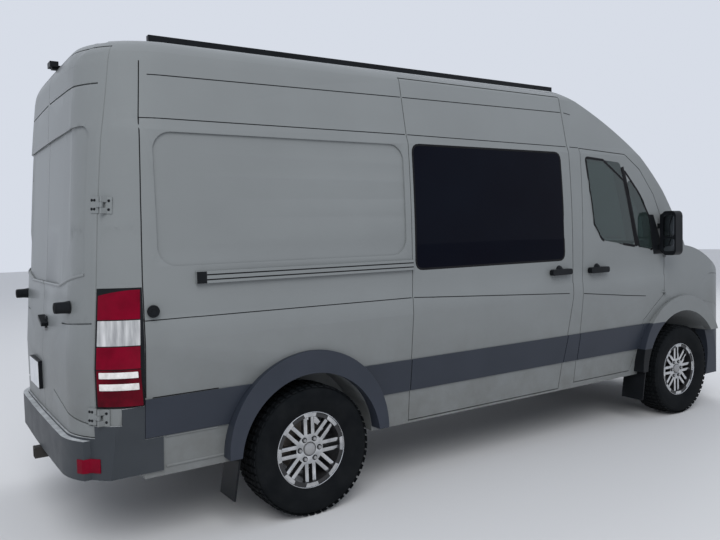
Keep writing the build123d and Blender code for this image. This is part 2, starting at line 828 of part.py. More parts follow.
# Fittings of the rear doors
for sign, side in both_sides():
    with BuildPart() as trim:
        with BuildSketch(Plane.YZ.offset(at(tail_low_x - buffer_reach))):
            with Locations((sign * buffer_y, buffer_z)):
                Circle(20.0)
        with BuildSketch(Plane.YZ.offset(at(tail_low_x + buffer_sink))):
            with Locations((sign * buffer_y, buffer_z)):
                Circle(34.0)
        loft()
        for place in hinge_places:
            add(hinge_leaf(sign, place, door_plate, -hinge_half_height, hinge_half_height))
            add(hinge_leaf(sign, place, door_arm, -hinge_door_half, hinge_door_half, hinge_knuckle_radius))
            bore = hinge_pin_radius + hinge_clearance
            add(hinge_leaf(sign, place, None, -hinge_half_height, hinge_half_height, bore), mode=Mode.SUBTRACT)
        if sign < 0:
            with Locations((at(tail_low_x - 12.0), -rear_handle_y, rear_handle_z)):
                Box(50.0, 150.0, 34.0)
    pieces = without(trim.part, outer)
    save(pieces, f"rear_door_fittings_{side}")
save(plate_block(-2.0), "plate_holder")

with BuildPart() as rear_hinges:
    for sign in (-1, 1):
        for place in hinge_places:
            add(hinge_leaf(sign, place, body_plate, -hinge_half_height, hinge_half_height))
            for low, high in ((-hinge_half_height, -hinge_body_low), (hinge_body_low, hinge_half_height)):
                add(hinge_leaf(sign, place, body_arm, low, high, hinge_knuckle_radius))
            add(hinge_leaf(sign, place, None, -hinge_half_height, hinge_half_height, hinge_pin_radius))
        add(drum(socket_place[0], socket_place[1], socket_radius, sign, 900.0, 1003.0))
save(without(rear_hinges.part, outer), "rear_hinges")

# Tow hitch: receiver tube on a cross tube with arms up to the chassis rails
rail_y = 400.0
rail_ends = (-1110.0, 4560.0)
rail_size = (70.0, 115.0)
rail_top = floor_z - floor_thickness
rail_low = rail_top - rail_size[1]
receiver_outer = 63.5
receiver_inner = 51.5
receiver_z = 400.0
hitch_tube_x = -1075.0
pin_hole_radius = 8.25
pin_hole_from_mouth = 63.0
with BuildPart() as tow_hitch:
    with Locations((at((hitch_tube_x - hitch_reach) / 2), 0, receiver_z)):
        Box(hitch_reach + hitch_tube_x, receiver_outer, receiver_outer)
    with Locations((at(hitch_tube_x), 0, receiver_z)):
        Box(60.0, 2 * rail_y + 80.0, 60.0)
    for sign in (-1, 1):
        with Locations((at(hitch_tube_x), sign * rail_y, (receiver_z + rail_low) / 2)):
            Box(90.0, 20.0, rail_low - receiver_z)
    with Locations((at((hitch_tube_x - hitch_reach) / 2) - 15.0, 0, receiver_z)):
        Box(hitch_reach + hitch_tube_x - 30.0, receiver_inner, receiver_inner, mode=Mode.SUBTRACT)
    with BuildSketch(Plane.XZ.offset(-100.0)):
        with Locations((at(pin_hole_from_mouth - hitch_reach), receiver_z)):
            Circle(pin_hole_radius)
    extrude(amount=200.0, mode=Mode.SUBTRACT)
save(tow_hitch.part, "tow_hitch")

# Chassis rails and cross members under the floor
with BuildPart() as chassis:
    for sign in (-1, 1):
        with Locations((at(sum(rail_ends) / 2), sign * rail_y, rail_low + rail_size[1] / 2)):
            Box(rail_ends[1] - rail_ends[0], rail_size[0], rail_size[1])
    for x in (-1060.0, -700.0, 700.0, 1600.0, 2600.0, 4400.0):
        with Locations((at(x), 0, rail_low + rail_size[1] / 2)):
            Box(60.0, 2 * rail_y, rail_size[1] - 40.0)
save(without(chassis.part, front_bumper), "chassis_rails")

# Rear axle with its differential and drive shaft, and the leaf springs
hub_radius = 30.0
hub_clearance = 0.1
spring_y = 455.0
axle_radius = 52.0
disc_inner_offset = 45.0
with BuildPart() as rear_axle:
    for length, radius in ((1590.0, axle_radius), (2 * (rear_track / 2 + 20.0), hub_radius - hub_clearance)):
        with BuildSketch(Plane.XZ.offset(-length / 2)):
            with Locations((at(0.0), tyre_radius)):
                Circle(radius)
        extrude(amount=length)
    with Locations((at(0.0), 0, tyre_radius)):
        Sphere(165.0)
    with BuildSketch(Plane.YZ.offset(at(100.0))):
        with Locations((0, tyre_radius + 10.0)):
            Circle(45.0)
    extrude(amount=2850.0)
save(rear_axle.part, "rear_axle")

spring_thickness = 34.0
spring_reach = 640.0
with BuildPart() as leaf_springs:
    for sign in (-1, 1):
        base = tyre_radius + axle_radius
        with BuildSketch(Plane.XZ.offset(-sign * spring_y - 35.0)):
            with BuildLine():
                ThreePointArc(
                    (at(-spring_reach), rail_low - spring_thickness),
                    (at(0.0), base),
                    (at(spring_reach), rail_low - spring_thickness),
                )
                Line((at(spring_reach), rail_low - spring_thickness), (at(spring_reach), rail_low))
                ThreePointArc(
                    (at(spring_reach), rail_low), (at(0.0), base + spring_thickness), (at(-spring_reach), rail_low)
                )
                Line((at(-spring_reach), rail_low), (at(-spring_reach), rail_low - spring_thickness))
            make_face()
        extrude(amount=70.0)
save(leaf_springs.part, "leaf_springs")

# Front subframe with its lower arms, and the knuckles that carry the front wheels
steer_y = 660.0
ball_pin_radius = 12.0
arm_heights = (265.0, 295.0)
with BuildPart() as subframe:
    with Locations((at(wheelbase), 0, 305.0)):
        Box(260.0, 2 * rail_y + 70.0, 20.0)
    for sign in (-1, 1):
        with Locations((at(wheelbase), sign * rail_y, (315.0 + rail_low) / 2)):
            Box(120.0, 60.0, rail_low - 315.0)
        with BuildSketch(Plane.XY.offset(arm_heights[0])):
            with BuildLine():
                Polyline(
                    (at(wheelbase - 120.0), sign * 440.0),
                    (at(wheelbase + 120.0), sign * 440.0),
                    (at(wheelbase + 34.0), sign * steer_y),
                    (at(wheelbase), sign * (steer_y + 34.0)),
                    (at(wheelbase - 34.0), sign * steer_y),
                    close=True,
                )
            make_face()
        extrude(amount=arm_heights[1] - arm_heights[0])
        with BuildSketch(Plane.XY.offset(arm_heights[1])):
            with Locations((at(wheelbase), sign * steer_y)):
                Circle(ball_pin_radius)
        extrude(amount=35.0)
save(subframe.part, "front_subframe")

knuckle_gap = 2.0
strut_radius = 30.0
strut_top = tyre_radius + front_arch_radius - 1.5
for sign, side in both_sides():
    base = arm_heights[1] + knuckle_gap
    with BuildPart() as knuckle:
        with Locations((at(wheelbase), sign * (steer_y + 30.0), (base + 520.0) / 2)):
            Box(90.0, 110.0, 520.0 - base)
        with BuildSketch(Plane.XY.offset(500.0)):
            with Locations((at(wheelbase), sign * steer_y)):
                Circle(strut_radius)
        extrude(amount=strut_top - 500.0)
        with BuildSketch(Plane.XZ.offset(-sign * (front_track / 2 + 20.0))):
            with Locations((at(wheelbase), tyre_radius)):
                Circle(hub_radius - hub_clearance)
        extrude(amount=sign * (front_track / 2 + 20.0 - steer_y))
        with BuildSketch(Plane.XY.offset(base)):
            with Locations((at(wheelbase), sign * steer_y)):
                Circle(ball_pin_radius + hub_clearance)
        extrude(amount=40.0, mode=Mode.SUBTRACT)
    save(knuckle.part, f"knuckle_{side}")

# Engine and gearbox as plain blocks, fuel tank and exhaust
with BuildPart() as engine:
    with Locations((at(3990.0), 0, 860.0)):
        Box(640.0, 520.0, 560.0)
    with Locations((at(3330.0), 0, 470.0)):
        Box(760.0, 260.0, 240.0)
    with Locations((at(3690.0), 0, 545.0)):
        Box(60.0, 260.0, 110.0)
save(engine.part, "engine")

with BuildPart() as fuel_tank:
    with Locations((at(2000.0), (rail_y + rail_size[0] / 2 + 730.0) / 2, 470.0)):
        Box(1000.0, 730.0 - rail_y - rail_size[0] / 2, 260.0)
save(fuel_tank.part, "fuel_tank")

exhaust_y = -300.0
pipe_radius = 32.0
with BuildPart() as exhaust:
    route = (
        (2900.0, exhaust_y, 430.0),
        (560.0, exhaust_y, 430.0),
        (300.0, exhaust_y, 560.0),
        (-320.0, exhaust_y, 560.0),
        (-560.0, exhaust_y, 420.0),
        (-1000.0, exhaust_y, 420.0),
    )
    with BuildLine():
        path = FilletPolyline(*[(at(x), y, z) for x, y, z in route], radius=150.0)
    with BuildSketch(Plane(origin=path @ 0, z_dir=path % 0)):
        Circle(pipe_radius)
    sweep()
    with BuildSketch(Plane.YZ.offset(at(900.0))):
        with Locations((exhaust_y, 430.0)):
            Circle(105.0)
    extrude(amount=650.0)
    hanger_outer_y = rail_y - rail_size[0] / 2
    for x in (-900.0, 800.0, 1700.0, 2300.0):
        with Locations((at(x), (exhaust_y - hanger_outer_y - 20.0) / 2, 495.0)):
            Box(24.0, exhaust_y + hanger_outer_y - 20.0, 130.0)
save(exhaust.part, "exhaust")

# Cab: dashboard with its steering wheel, and two seats
with BuildPart() as dashboard:
    with BuildSketch(Plane.XZ.offset(-840.0)):
        with BuildLine():
            Polyline(
                (at(3250.0), 1010.0),
                (at(firewall_x), 1010.0),
                (at(firewall_x), 1410.0),
                (at(3330.0), 1400.0),
                (at(3215.0), 1320.0),
                close=True,
            )
        make_face()
    extrude(amount=1680.0)
    wheel_plane = Plane(origin=(at(3090.0), 440.0, 1330.0), x_dir=(0, 1, 0), z_dir=(-1.0, 0, 1.1))
    with BuildSketch(wheel_plane):
        Circle(205.0)
        Circle(175.0, mode=Mode.SUBTRACT)
        Rectangle(380.0, 34.0)
        Circle(60.0)
    extrude(amount=14.0, both=True)
    with BuildSketch(wheel_plane):
        Circle(32.0)
    extrude(amount=-230.0)
save(dashboard.part, "dashboard")

with BuildPart() as seats:
    for sign in (-1, 1):
        with Locations((at(2720.0), sign * 450.0, 845.0)):
            Box(420.0, 420.0, 330.0)
        with Locations((at(2730.0), sign * 450.0, 1080.0)):
            Box(520.0, 500.0, 140.0)
        with Locations((at(2480.0), sign * 450.0, 1330.0)):
            Box(130.0, 490.0, 640.0)
        with Locations((at(2470.0), sign * 450.0, 1750.0)):
            Box(90.0, 260.0, 200.0)
save(seats.part, "cab_seats")

# Wheels: a rim with paired spokes and its brake disc, and a tyre, made once about Z and placed four times
bead_radius = 203.0
bead_half = 82.0
flange_half = 90.0
with BuildPart() as rim:
    with BuildSketch(Plane.XZ):
        with BuildLine():
            Polyline(
                (bead_radius - 9.0, -flange_half),
                (rim_radius, -flange_half),
                (rim_radius, -bead_half),
                (bead_radius, -bead_half),
                (bead_radius, bead_half),
                (rim_radius, bead_half),
                (rim_radius, flange_half),
                (bead_radius - 9.0, flange_half),
                close=True,
            )
        make_face()
    revolve(axis=Axis.Z)
    with BuildSketch(Plane.XY.offset(40.0)):
        Circle(88.0)
        with PolarLocations(0.0, spoke_pairs):
            with Locations((130.0, 24.0), (130.0, -24.0)):
                Rectangle(138.0, 22.0)
    extrude(amount=30.0)
    with BuildSketch(Plane.XY.offset(-disc_inner_offset)):
        Circle(150.0)
    extrude(amount=24.0)
    with BuildSketch(Plane.XY.offset(-disc_inner_offset)):
        Circle(80.0)
    extrude(amount=disc_inner_offset + 40.0)
    with BuildSketch(Plane.XY.offset(-disc_inner_offset)):
        Circle(hub_radius)
    extrude(amount=disc_inner_offset + 25.0, mode=Mode.SUBTRACT)
    with BuildSketch(Plane.XY.offset(70.0)):
        Circle(centre_bore / 2)
        with PolarLocations(bolt_circle / 2, bolt_count):
            Circle(stud_radius)
    extrude(amount=-24.0, mode=Mode.SUBTRACT)

with BuildPart() as tyre:
    with BuildSketch(Plane.XZ):
        with BuildLine():
            half = tyre_width / 2
            Polyline(
                (bead_radius, -bead_half),
                (rim_radius + 2.0, -bead_half),
                (300.0, -half),
                (360.0, -half + 9.0),
                (tyre_radius, -half + 38.0),
                (tyre_radius, half - 38.0),
                (360.0, half - 9.0),
                (300.0, half),
                (rim_radius + 2.0, bead_half),
                (bead_radius, bead_half),
                close=True,
            )
        make_face()
    revolve(axis=Axis.Z)

wheel_places = (
    # name, distance ahead of the rear axle, distance from the middle
    ("front", wheelbase, front_track / 2),
    ("rear", 0.0, rear_track / 2),
)
for end, x, y in wheel_places:
    for sign, side in both_sides():
        hub_plane = Plane(origin=(at(x), sign * y, tyre_radius), x_dir=(1, 0, 0), z_dir=(0, sign, 0))
        for piece, kind in ((rim, "wheel"), (tyre, "tyre")):
            with BuildPart() as placed:
                with Locations(hub_plane):
                    add(piece.part)
            save(placed.part, f"{kind}_{end}_{side}")
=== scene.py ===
# %% [markdown]
# A camper van is a panel van with a high roof: folded and pressed sheet metal in one warm grey paint,
# dark plastic along its lower edge, and black glass. The CAD model gives every panel its true place.
# Here each panel is dressed: its mesh is welded and shaded smoothly, its edges are rounded a little,
# every surface gets its own finish, and the lamps, wheels, seals and handles are modelled on top.

# %% Start
import bpy
import bmesh
import json
import math
from mathutils import Matrix, Vector
from mathutils.bvhtree import BVHTree

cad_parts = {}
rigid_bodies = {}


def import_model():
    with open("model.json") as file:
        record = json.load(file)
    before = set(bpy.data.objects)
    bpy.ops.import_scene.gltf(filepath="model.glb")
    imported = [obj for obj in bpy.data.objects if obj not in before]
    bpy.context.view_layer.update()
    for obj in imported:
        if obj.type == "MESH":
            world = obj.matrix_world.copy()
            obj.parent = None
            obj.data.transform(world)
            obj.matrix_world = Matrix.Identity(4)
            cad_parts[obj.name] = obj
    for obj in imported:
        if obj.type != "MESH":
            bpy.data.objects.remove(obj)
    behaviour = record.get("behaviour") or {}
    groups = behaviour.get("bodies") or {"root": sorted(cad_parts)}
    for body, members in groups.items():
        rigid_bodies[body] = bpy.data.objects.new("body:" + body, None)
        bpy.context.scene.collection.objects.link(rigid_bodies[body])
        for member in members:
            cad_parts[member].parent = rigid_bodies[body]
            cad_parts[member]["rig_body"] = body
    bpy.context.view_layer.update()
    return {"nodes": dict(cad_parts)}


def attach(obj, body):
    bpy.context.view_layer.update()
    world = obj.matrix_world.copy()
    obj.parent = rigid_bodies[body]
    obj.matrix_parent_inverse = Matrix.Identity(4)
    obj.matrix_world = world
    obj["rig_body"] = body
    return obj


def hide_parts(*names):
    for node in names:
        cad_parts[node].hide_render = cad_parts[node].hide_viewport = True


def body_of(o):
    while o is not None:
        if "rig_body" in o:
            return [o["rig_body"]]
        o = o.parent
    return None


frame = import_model()
NODES = frame["nodes"]
SIDES = ((-1, "right"), (1, "left"))

# %% [markdown]
# The drawings of a van are measured from its rear axle, so a small helper turns such a distance, in
# millimetres, into this scene's metres.

# %% Places
REAR_AXLE_X = -1.6595
WHEELBASE = 3665
TYRE_RADIUS = 0.384


def at(distance):
    """Place along the van in metres, from a distance in millimetres ahead of the rear axle."""
    return REAR_AXLE_X + distance / 1000


# %% [markdown]
# A finish is a small tree of nodes. Most of them here share one recipe: a base colour that drifts a
# little over the surface, a roughness with the same drift, and a fine bump. The recipe is a function,
# and each finish calls it with its own numbers.

# %% Finishes


def new_finish(name):
    """An empty material with its shader and its object coordinates."""
    mat = bpy.data.materials.new(name)
    mat.use_nodes = True
    tree = mat.node_tree
    place = tree.nodes.new("ShaderNodeTexCoord")
    return mat, tree, tree.nodes["Principled BSDF"], place.outputs["Object"]


def set_shader(shader, **values):
    """Numbers and colours that are the same all over the surface, set on the shader's own sockets."""
    for key, value in values.items():
        socket = shader.inputs[key.replace("_", " ")]
        socket.default_value = (*value, 1.0) if isinstance(value, tuple) else value


def noise(tree, place, scale, detail=3.0, roughness=0.55):
    """A value that drifts smoothly over the surface."""
    node = tree.nodes.new("ShaderNodeTexNoise")
    node.inputs["Scale"].default_value = scale
    node.inputs["Detail"].default_value = detail
    node.inputs["Roughness"].default_value = roughness
    tree.links.new(place, node.inputs["Vector"])
    return node.outputs["Fac"]


def ramp(tree, fac, stops):
    """A colour that follows a value through stops of value and colour."""
    node = tree.nodes.new("ShaderNodeValToRGB")
    elements = node.color_ramp.elements
    while len(elements) > 1:
        elements.remove(elements[0])
    elements[0].position = stops[0][0]
    elements[0].color = (*stops[0][1], 1.0)
    for position, colour in stops[1:]:
        elements.new(position).color = (*colour, 1.0)
    tree.links.new(fac, node.inputs["Fac"])
    return node.outputs["Color"]


def spread(tree, fac, low, high, start=0.0, end=1.0):
    """A value that goes from low to high while the given one goes from start to end."""
    node = tree.nodes.new("ShaderNodeMapRange")
    node.inputs["From Min"].default_value = start
    node.inputs["From Max"].default_value = end
    node.inputs["To Min"].default_value = low
    node.inputs["To Max"].default_value = high
    tree.links.new(fac, node.inputs["Value"])
    return node.outputs["Result"]


def times(tree, first, second):
    """The product of two values."""
    node = tree.nodes.new("ShaderNodeMath")
    node.operation = "MULTIPLY"
    tree.links.new(first, node.inputs[0])
    tree.links.new(second, node.inputs[1])
    return node.outputs[0]


def bump(tree, shader, height, strength, distance):
    """A fine relief on the shader, from a value that stands for height."""
    node = tree.nodes.new("ShaderNodeBump")
    node.inputs["Strength"].default_value = strength
    node.inputs["Distance"].default_value = distance
    tree.links.new(height, node.inputs["Height"])
    tree.links.new(node.outputs["Normal"], shader.inputs["Normal"])


# The Mix node has one set of sockets for each kind of data, under the same names, so that the
# sockets for colours are found by number.
MIX_COLOURS = (6, 7)
MIX_RESULT = 2


def blend_colours(tree, fac, low, high):
    """A colour between two others, each given as a tuple or as a socket."""
    node = tree.nodes.new("ShaderNodeMix")
    node.data_type = "RGBA"
    tree.links.new(fac, node.inputs["Factor"])
    for index, colour in zip(MIX_COLOURS, (low, high)):
        if isinstance(colour, tuple):
            node.inputs[index].default_value = (*colour, 1.0)
        else:
            tree.links.new(colour, node.inputs[index])
    return node.outputs[MIX_RESULT]


def part_of_place(tree, place, axis):
    """One of the three numbers of a place or a direction."""
    node = tree.nodes.new("ShaderNodeSeparateXYZ")
    tree.links.new(place, node.inputs["Vector"])
    return node.outputs[axis]


def plain_finish(name, dark, light, rough, scale, grain, depth, stretch=None, **values):
    """The shared recipe: two tones, a range of roughness and a fine bump of its own scale."""
    mat, tree, shader, place = new_finish(name)
    if stretch:
        drawn_out = tree.nodes.new("ShaderNodeVectorMath")
        drawn_out.operation = "MULTIPLY"
        drawn_out.inputs[1].default_value = stretch
        tree.links.new(place, drawn_out.inputs[0])
        place = drawn_out.outputs[0]
    drift = noise(tree, place, scale)
    tree.links.new(ramp(tree, drift, ((0.3, dark), (0.7, light))), shader.inputs["Base Color"])
    tree.links.new(spread(tree, drift, *rough), shader.inputs["Roughness"])
    bump(tree, shader, noise(tree, place, grain, detail=2.0), strength=0.25, distance=depth)
    set_shader(shader, **values)
    return mat


# %% [markdown]
# The paint has a thin film on it that is thickest near the ground and fades out by the height of the
# door handles. It is road dust and painted shade together: the film is darker and rougher than the
# paint below it, and its dark colour also paints the shade on the low panels, such as the sill.

# %% Paint
DUST_AND_SHADE_HEIGHTS = (0.35, 1.25)
DUST_AND_SHADE_MOST = 0.75


def paint_with_dust_and_shade(name, dark, light, dust_and_shade, rough):
    """Paint in two tones under a patchy film of dust and painted shade, which is rougher than the paint."""
    mat, tree, shader, place = new_finish(name)
    tone = ramp(tree, noise(tree, place, 1.3), ((0.35, dark), (0.65, light)))
    # The film is darkest at the bottom of the van: it paints the shade low down as well as road dust.
    fading = spread(tree, part_of_place(tree, place, "Z"), DUST_AND_SHADE_MOST, 0.0, *DUST_AND_SHADE_HEIGHTS)
    patches = spread(tree, noise(tree, place, 5.0, 6.0, 0.7), 0.15, 1.0, start=0.3, end=0.7)
    film = times(tree, fading, patches)
    tree.links.new(blend_colours(tree, film, tone, dust_and_shade), shader.inputs["Base Color"])
    tree.links.new(spread(tree, film, *rough), shader.inputs["Roughness"])
    bump(tree, shader, noise(tree, place, 900.0, detail=2.0), strength=0.2, distance=0.00004)
    set_shader(shader, Coat_Weight=0.06, Coat_Roughness=0.15, Specular_IOR_Level=0.3)
    return mat


GREY_PAINT = paint_with_dust_and_shade(
    "warm_grey_paint",
    dark=(0.170, 0.181, 0.182),
    light=(0.183, 0.195, 0.196),
    # This dust colour is dark enough to paint the shade on the low panels as well.
    dust_and_shade=(0.105, 0.105, 0.097),
    rough=(0.36, 0.52),
)

# %% [markdown]
# The bumper plastic is scuffed where boots step on it, so its upward faces are paler. The node that
# tells a face's direction is the Geometry node, which doesn't depend on the camera.

# %% Worn plastic


def worn_plastic(name, dark, light, worn):
    """Plastic in two tones whose upward faces are scuffed pale in patches."""
    mat, tree, shader, place = new_finish(name)
    tone = ramp(tree, noise(tree, place, 3.0), ((0.3, dark), (0.7, light)))
    direction = tree.nodes.new("ShaderNodeNewGeometry").outputs["Normal"]
    upward = spread(tree, part_of_place(tree, direction, "Z"), 0.0, 1.0, start=0.6, end=0.95)
    patches = spread(tree, noise(tree, place, 14.0, 5.0, 0.7), 0.45, 1.0, start=0.3, end=0.7)
    scuffs = times(tree, upward, patches)
    tree.links.new(blend_colours(tree, scuffs, tone, worn), shader.inputs["Base Color"])
    tree.links.new(spread(tree, noise(tree, place, 9.0), 0.42, 0.62), shader.inputs["Roughness"])
    bump(tree, shader, noise(tree, place, 600.0, detail=2.0), strength=0.3, distance=0.0003)
    return mat


STEP_PLASTIC = worn_plastic(
    "worn_step_plastic", dark=(0.019, 0.024, 0.029), light=(0.026, 0.031, 0.037), worn=(0.50, 0.52, 0.53)
)

# %% [markdown]
# All other finishes use the shared recipe. Their numbers are, in order: the dark and the light tone,
# the range of roughness, the scale of the tones, the scale of the grain and the depth of the grain in
# metres. Plastic and rubber reflect very little, so that they stay dark under a wide sky.

# %% Plastic, rubber and cloth
DARK_PLASTIC = plain_finish(
    "grained_dark_plastic", (0.021, 0.026, 0.036), (0.027, 0.032, 0.044), (0.42, 0.55), 3.0, 700.0, 0.0003,
    Specular_IOR_Level=0.3,
)
BLACK_PLASTIC = plain_finish(
    "black_plastic", (0.004, 0.005, 0.006), (0.009, 0.010, 0.012), (0.32, 0.45), 4.0, 700.0, 0.0002,
    Specular_IOR_Level=0.14,
)
# This black is the rubber of the seals, wipers and buffer caps, and also the painted shade of the pressed
# lines and of the rail's slots.
SEAL_RUBBER_AND_SHADE = plain_finish(
    "seal_rubber_and_shade", (0.004, 0.004, 0.005), (0.008, 0.008, 0.009), (0.5, 0.65), 12.0, 500.0, 0.0002,
    Specular_IOR_Level=0.14,
)
TYRE_RUBBER = plain_finish(
    "tyre_rubber", (0.004, 0.005, 0.006), (0.009, 0.010, 0.011), (0.65, 0.85), 9.0, 500.0, 0.0004,
    Specular_IOR_Level=0.08,
)
SEAT_FABRIC = plain_finish(
    "seat_fabric", (0.030, 0.030, 0.033), (0.050, 0.050, 0.053), (0.8, 0.95), 20.0, 900.0, 0.0008
)

# %% Metals
POLISHED_ALLOY = plain_finish(
    "polished_alloy", (0.38, 0.39, 0.40), (0.66, 0.66, 0.66), (0.10, 0.26), 14.0, 400.0, 0.00005, Metallic=1.0
)
BLACK_ALLOY = plain_finish(
    "black_alloy", (0.012, 0.012, 0.013), (0.022, 0.022, 0.023), (0.30, 0.42), 8.0, 300.0, 0.0001
)
BRAKE_IRON = plain_finish(
    "brake_iron", (0.10, 0.085, 0.07), (0.20, 0.18, 0.16), (0.35, 0.6), 30.0, 300.0, 0.0003, Metallic=0.8
)
UNDERBODY = plain_finish(
    "underbody_steel", (0.022, 0.020, 0.018), (0.050, 0.046, 0.040), (0.5, 0.75), 6.0, 300.0, 0.0005,
    Metallic=0.3,
)
SATIN_STEEL = plain_finish(
    "satin_steel", (0.30, 0.30, 0.30), (0.42, 0.42, 0.42), (0.30, 0.45), 8.0, 500.0, 0.0001, Metallic=0.8
)
MIRROR_GLASS = plain_finish(
    "mirror_glass", (0.10, 0.11, 0.12), (0.13, 0.14, 0.15), (0.01, 0.03), 1.0, 3.0, 0.00001, Metallic=1.0
)

# %% Lenses, plate and glass
RED_LENS = plain_finish(
    "red_lens", (0.105, 0.0, 0.008), (0.175, 0.0, 0.013), (0.10, 0.16), 9.0, 160.0, 0.0002,
    Specular_IOR_Level=0.1,
)
DEEP_RED_LENS = plain_finish(
    "deep_red_lens", (0.030, 0.0, 0.003), (0.120, 0.0, 0.008), (0.10, 0.16), 7.0, 160.0, 0.0002,
    Specular_IOR_Level=0.1,
)
CLEAR_LENS = plain_finish(
    "clear_lens", (0.22, 0.225, 0.23), (0.55, 0.55, 0.55), (0.05, 0.12), 34.0, 110.0, 0.0004,
    stretch=(1.0, 1.0, 0.12), Coat_Weight=0.3,
)
AMBER_LENS = plain_finish(
    "amber_lens", (0.62, 0.20, 0.01), (0.72, 0.26, 0.02), (0.08, 0.14), 14.0, 160.0, 0.0002
)
REFLECTOR_WHITE = plain_finish(
    "reflector_white", (0.52, 0.50, 0.48), (0.74, 0.72, 0.70), (0.15, 0.25), 30.0, 300.0, 0.0002
)
BLANK_PLATE = plain_finish(
    "blank_plate", (0.60, 0.62, 0.64), (0.72, 0.73, 0.74), (0.35, 0.5), 18.0, 300.0, 0.0002
)
DARK_GLASS = plain_finish(
    "dark_glass", (0.001, 0.001, 0.004), (0.002, 0.003, 0.007), (0.02, 0.04), 1.0, 3.0, 0.00001,
    Specular_IOR_Level=0.07,
)
TINTED_GLASS = plain_finish(
    "tinted_glass", (0.10, 0.15, 0.14), (0.12, 0.17, 0.16), (0.01, 0.02), 1.0, 3.0, 0.00001,
    Transmission_Weight=0.85,
)
print("materials in the file:", len(bpy.data.materials))

# %% [markdown]
# Seams, lenses and bolts sit on the skin of the van. A finder shoots a ray at the CAD panels from
# outside, and gives the place where it lands with the way that the skin faces there.

# %% Finding the skin
OUTSIDE = 4.0
NEAR_SIDE = 0.1
DRESSED = {}


def skin_of(*nodes):
    """A search tree over some CAD nodes, or over the dressed copy of each that has one."""
    bm = bmesh.new()
    for node in nodes:
        bm.from_mesh(DRESSED.get(node, NODES[node]).data)
    tree = BVHTree.FromBMesh(bm)
    bm.free()
    return tree


def side_place(tree, sign, distance, height):
    """Place and normal on a side of the van, or a pair of None where the ray slips through a gap."""
    start = Vector((at(distance), sign * OUTSIDE, height / 1000))
    place, normal = tree.ray_cast(start, Vector((0, -sign, 0)))[:2]
    return (place, normal) if place and place.y * sign > NEAR_SIDE else (None, None)


def tail_place(tree, across, height):
    """Place and normal on the back of the van."""
    return tree.ray_cast(Vector((-OUTSIDE, across / 1000, height / 1000)), Vector((1, 0, 0)))[:2]


def nose_place(tree, across, height):
    """Place and normal on the front of the van."""
    return tree.ray_cast(Vector((OUTSIDE, across / 1000, height / 1000)), Vector((-1, 0, 0)))[:2]


# %% [markdown]
# A seam or an outline is written as a few points in millimetres. Points at even steps between them
# let it follow a curved skin.

# %% Paths and outlines


def even_steps(low, high, count):
    """Numbers at even steps from low to high, with both of them."""
    return [low + (high - low) * k / count for k in range(count + 1)]


def stations(points, step=40.0):
    """Points at even steps along a polyline of pairs, in millimetres."""
    found = [points[0]]
    for (u0, v0), (u1, v1) in zip(points, points[1:]):
        count = max(1, math.ceil(math.hypot(u1 - u0, v1 - v0) / step))
        found += [(u0 + (u1 - u0) * k / count, v0 + (v1 - v0) * k / count) for k in range(1, count + 1)]
    return found


def rounded_outline(u_low, u_high, v_low, v_high, corner, steps=5):
    """A closed outline with round corners, in millimetres."""
    corners = (
        (u_high - corner, v_high - corner, 0),
        (u_low + corner, v_high - corner, 90),
        (u_low + corner, v_low + corner, 180),
        (u_high - corner, v_low + corner, 270),
    )
    points = []
    for u, v, start in corners:
        for k in range(steps + 1):
            angle = math.radians(start + 90 * k / steps)
            points.append((u + corner * math.cos(angle), v + corner * math.sin(angle)))
    return points


# %% [markdown]
# Three shapes make most of the small pieces: a low strip along a path, a thin sheet over a grid of
# places, and a profile spun about an axis. They are built point by point, because then each point can
# lie on the skin itself.

# %% Strips, sheets and turned shapes
STRIP_SHOULDER = (0.36, 0.8)
MERGE_DISTANCE = 0.000005


def join_rings(bm, near, far, count):
    """Faces between two rings of points that have the same length."""
    size = len(near)
    for k in range(count):
        bm.faces.new((near[k], near[(k + 1) % size], far[(k + 1) % size], far[k]))


def close_rings(bm, rings):
    """A closed shape from a stack of rings."""
    for near, far in zip(rings, rings[1:]):
        join_rings(bm, near, far, len(near))
    bm.faces.new(rings[-1])
    bm.faces.new(list(reversed(rings[0])))


def add_strip(bm, path, width, height, sunk=0.0012, closed=False):
    """A low rounded strip along a path of places and normals."""
    aside, up = STRIP_SHOULDER
    section = ((-0.5, -sunk), (-aside, height * up), (0.0, height), (aside, height * up), (0.5, -sunk))
    path = [pair for pair in path if pair[0] is not None]
    last = len(path) - 1
    rings = []
    for index, (place, normal) in enumerate(path):
        before = path[(index - 1) % len(path)] if closed else path[max(0, index - 1)]
        after = path[(index + 1) % len(path)] if closed else path[min(last, index + 1)]
        along = (after[0] - before[0]).normalized()
        across = along.cross(normal).normalized()
        rings.append([bm.verts.new(place + across * (u * width) + normal * v) for u, v in section])
    pairs = list(zip(rings, rings[1:])) + ([(rings[-1], rings[0])] if closed else [])
    for near, far in pairs:
        join_rings(bm, near, far, len(section))
    if not closed:
        bm.faces.new(rings[0])
        bm.faces.new(list(reversed(rings[-1])))


def add_plate(bm, rows, lift, depth):
    """A closed sheet over a grid of places and normals, raised by lift and sunk by depth."""
    outer = [[bm.verts.new(place + normal * lift) for place, normal in row] for row in rows]
    inner = [[bm.verts.new(place - normal * depth) for place, normal in row] for row in rows]
    high, wide = len(rows) - 1, len(rows[0]) - 1
    for i in range(high):
        for j in range(wide):
            bm.faces.new((outer[i][j], outer[i][j + 1], outer[i + 1][j + 1], outer[i + 1][j]))
            bm.faces.new((inner[i][j], inner[i + 1][j], inner[i + 1][j + 1], inner[i][j + 1]))
    for i in range(high):
        bm.faces.new((outer[i][0], outer[i + 1][0], inner[i + 1][0], inner[i][0]))
        bm.faces.new((outer[i][wide], inner[i][wide], inner[i + 1][wide], outer[i + 1][wide]))
    for j in range(wide):
        bm.faces.new((outer[0][j], inner[0][j], inner[0][j + 1], outer[0][j + 1]))
        bm.faces.new((outer[high][j], outer[high][j + 1], inner[high][j + 1], inner[high][j]))


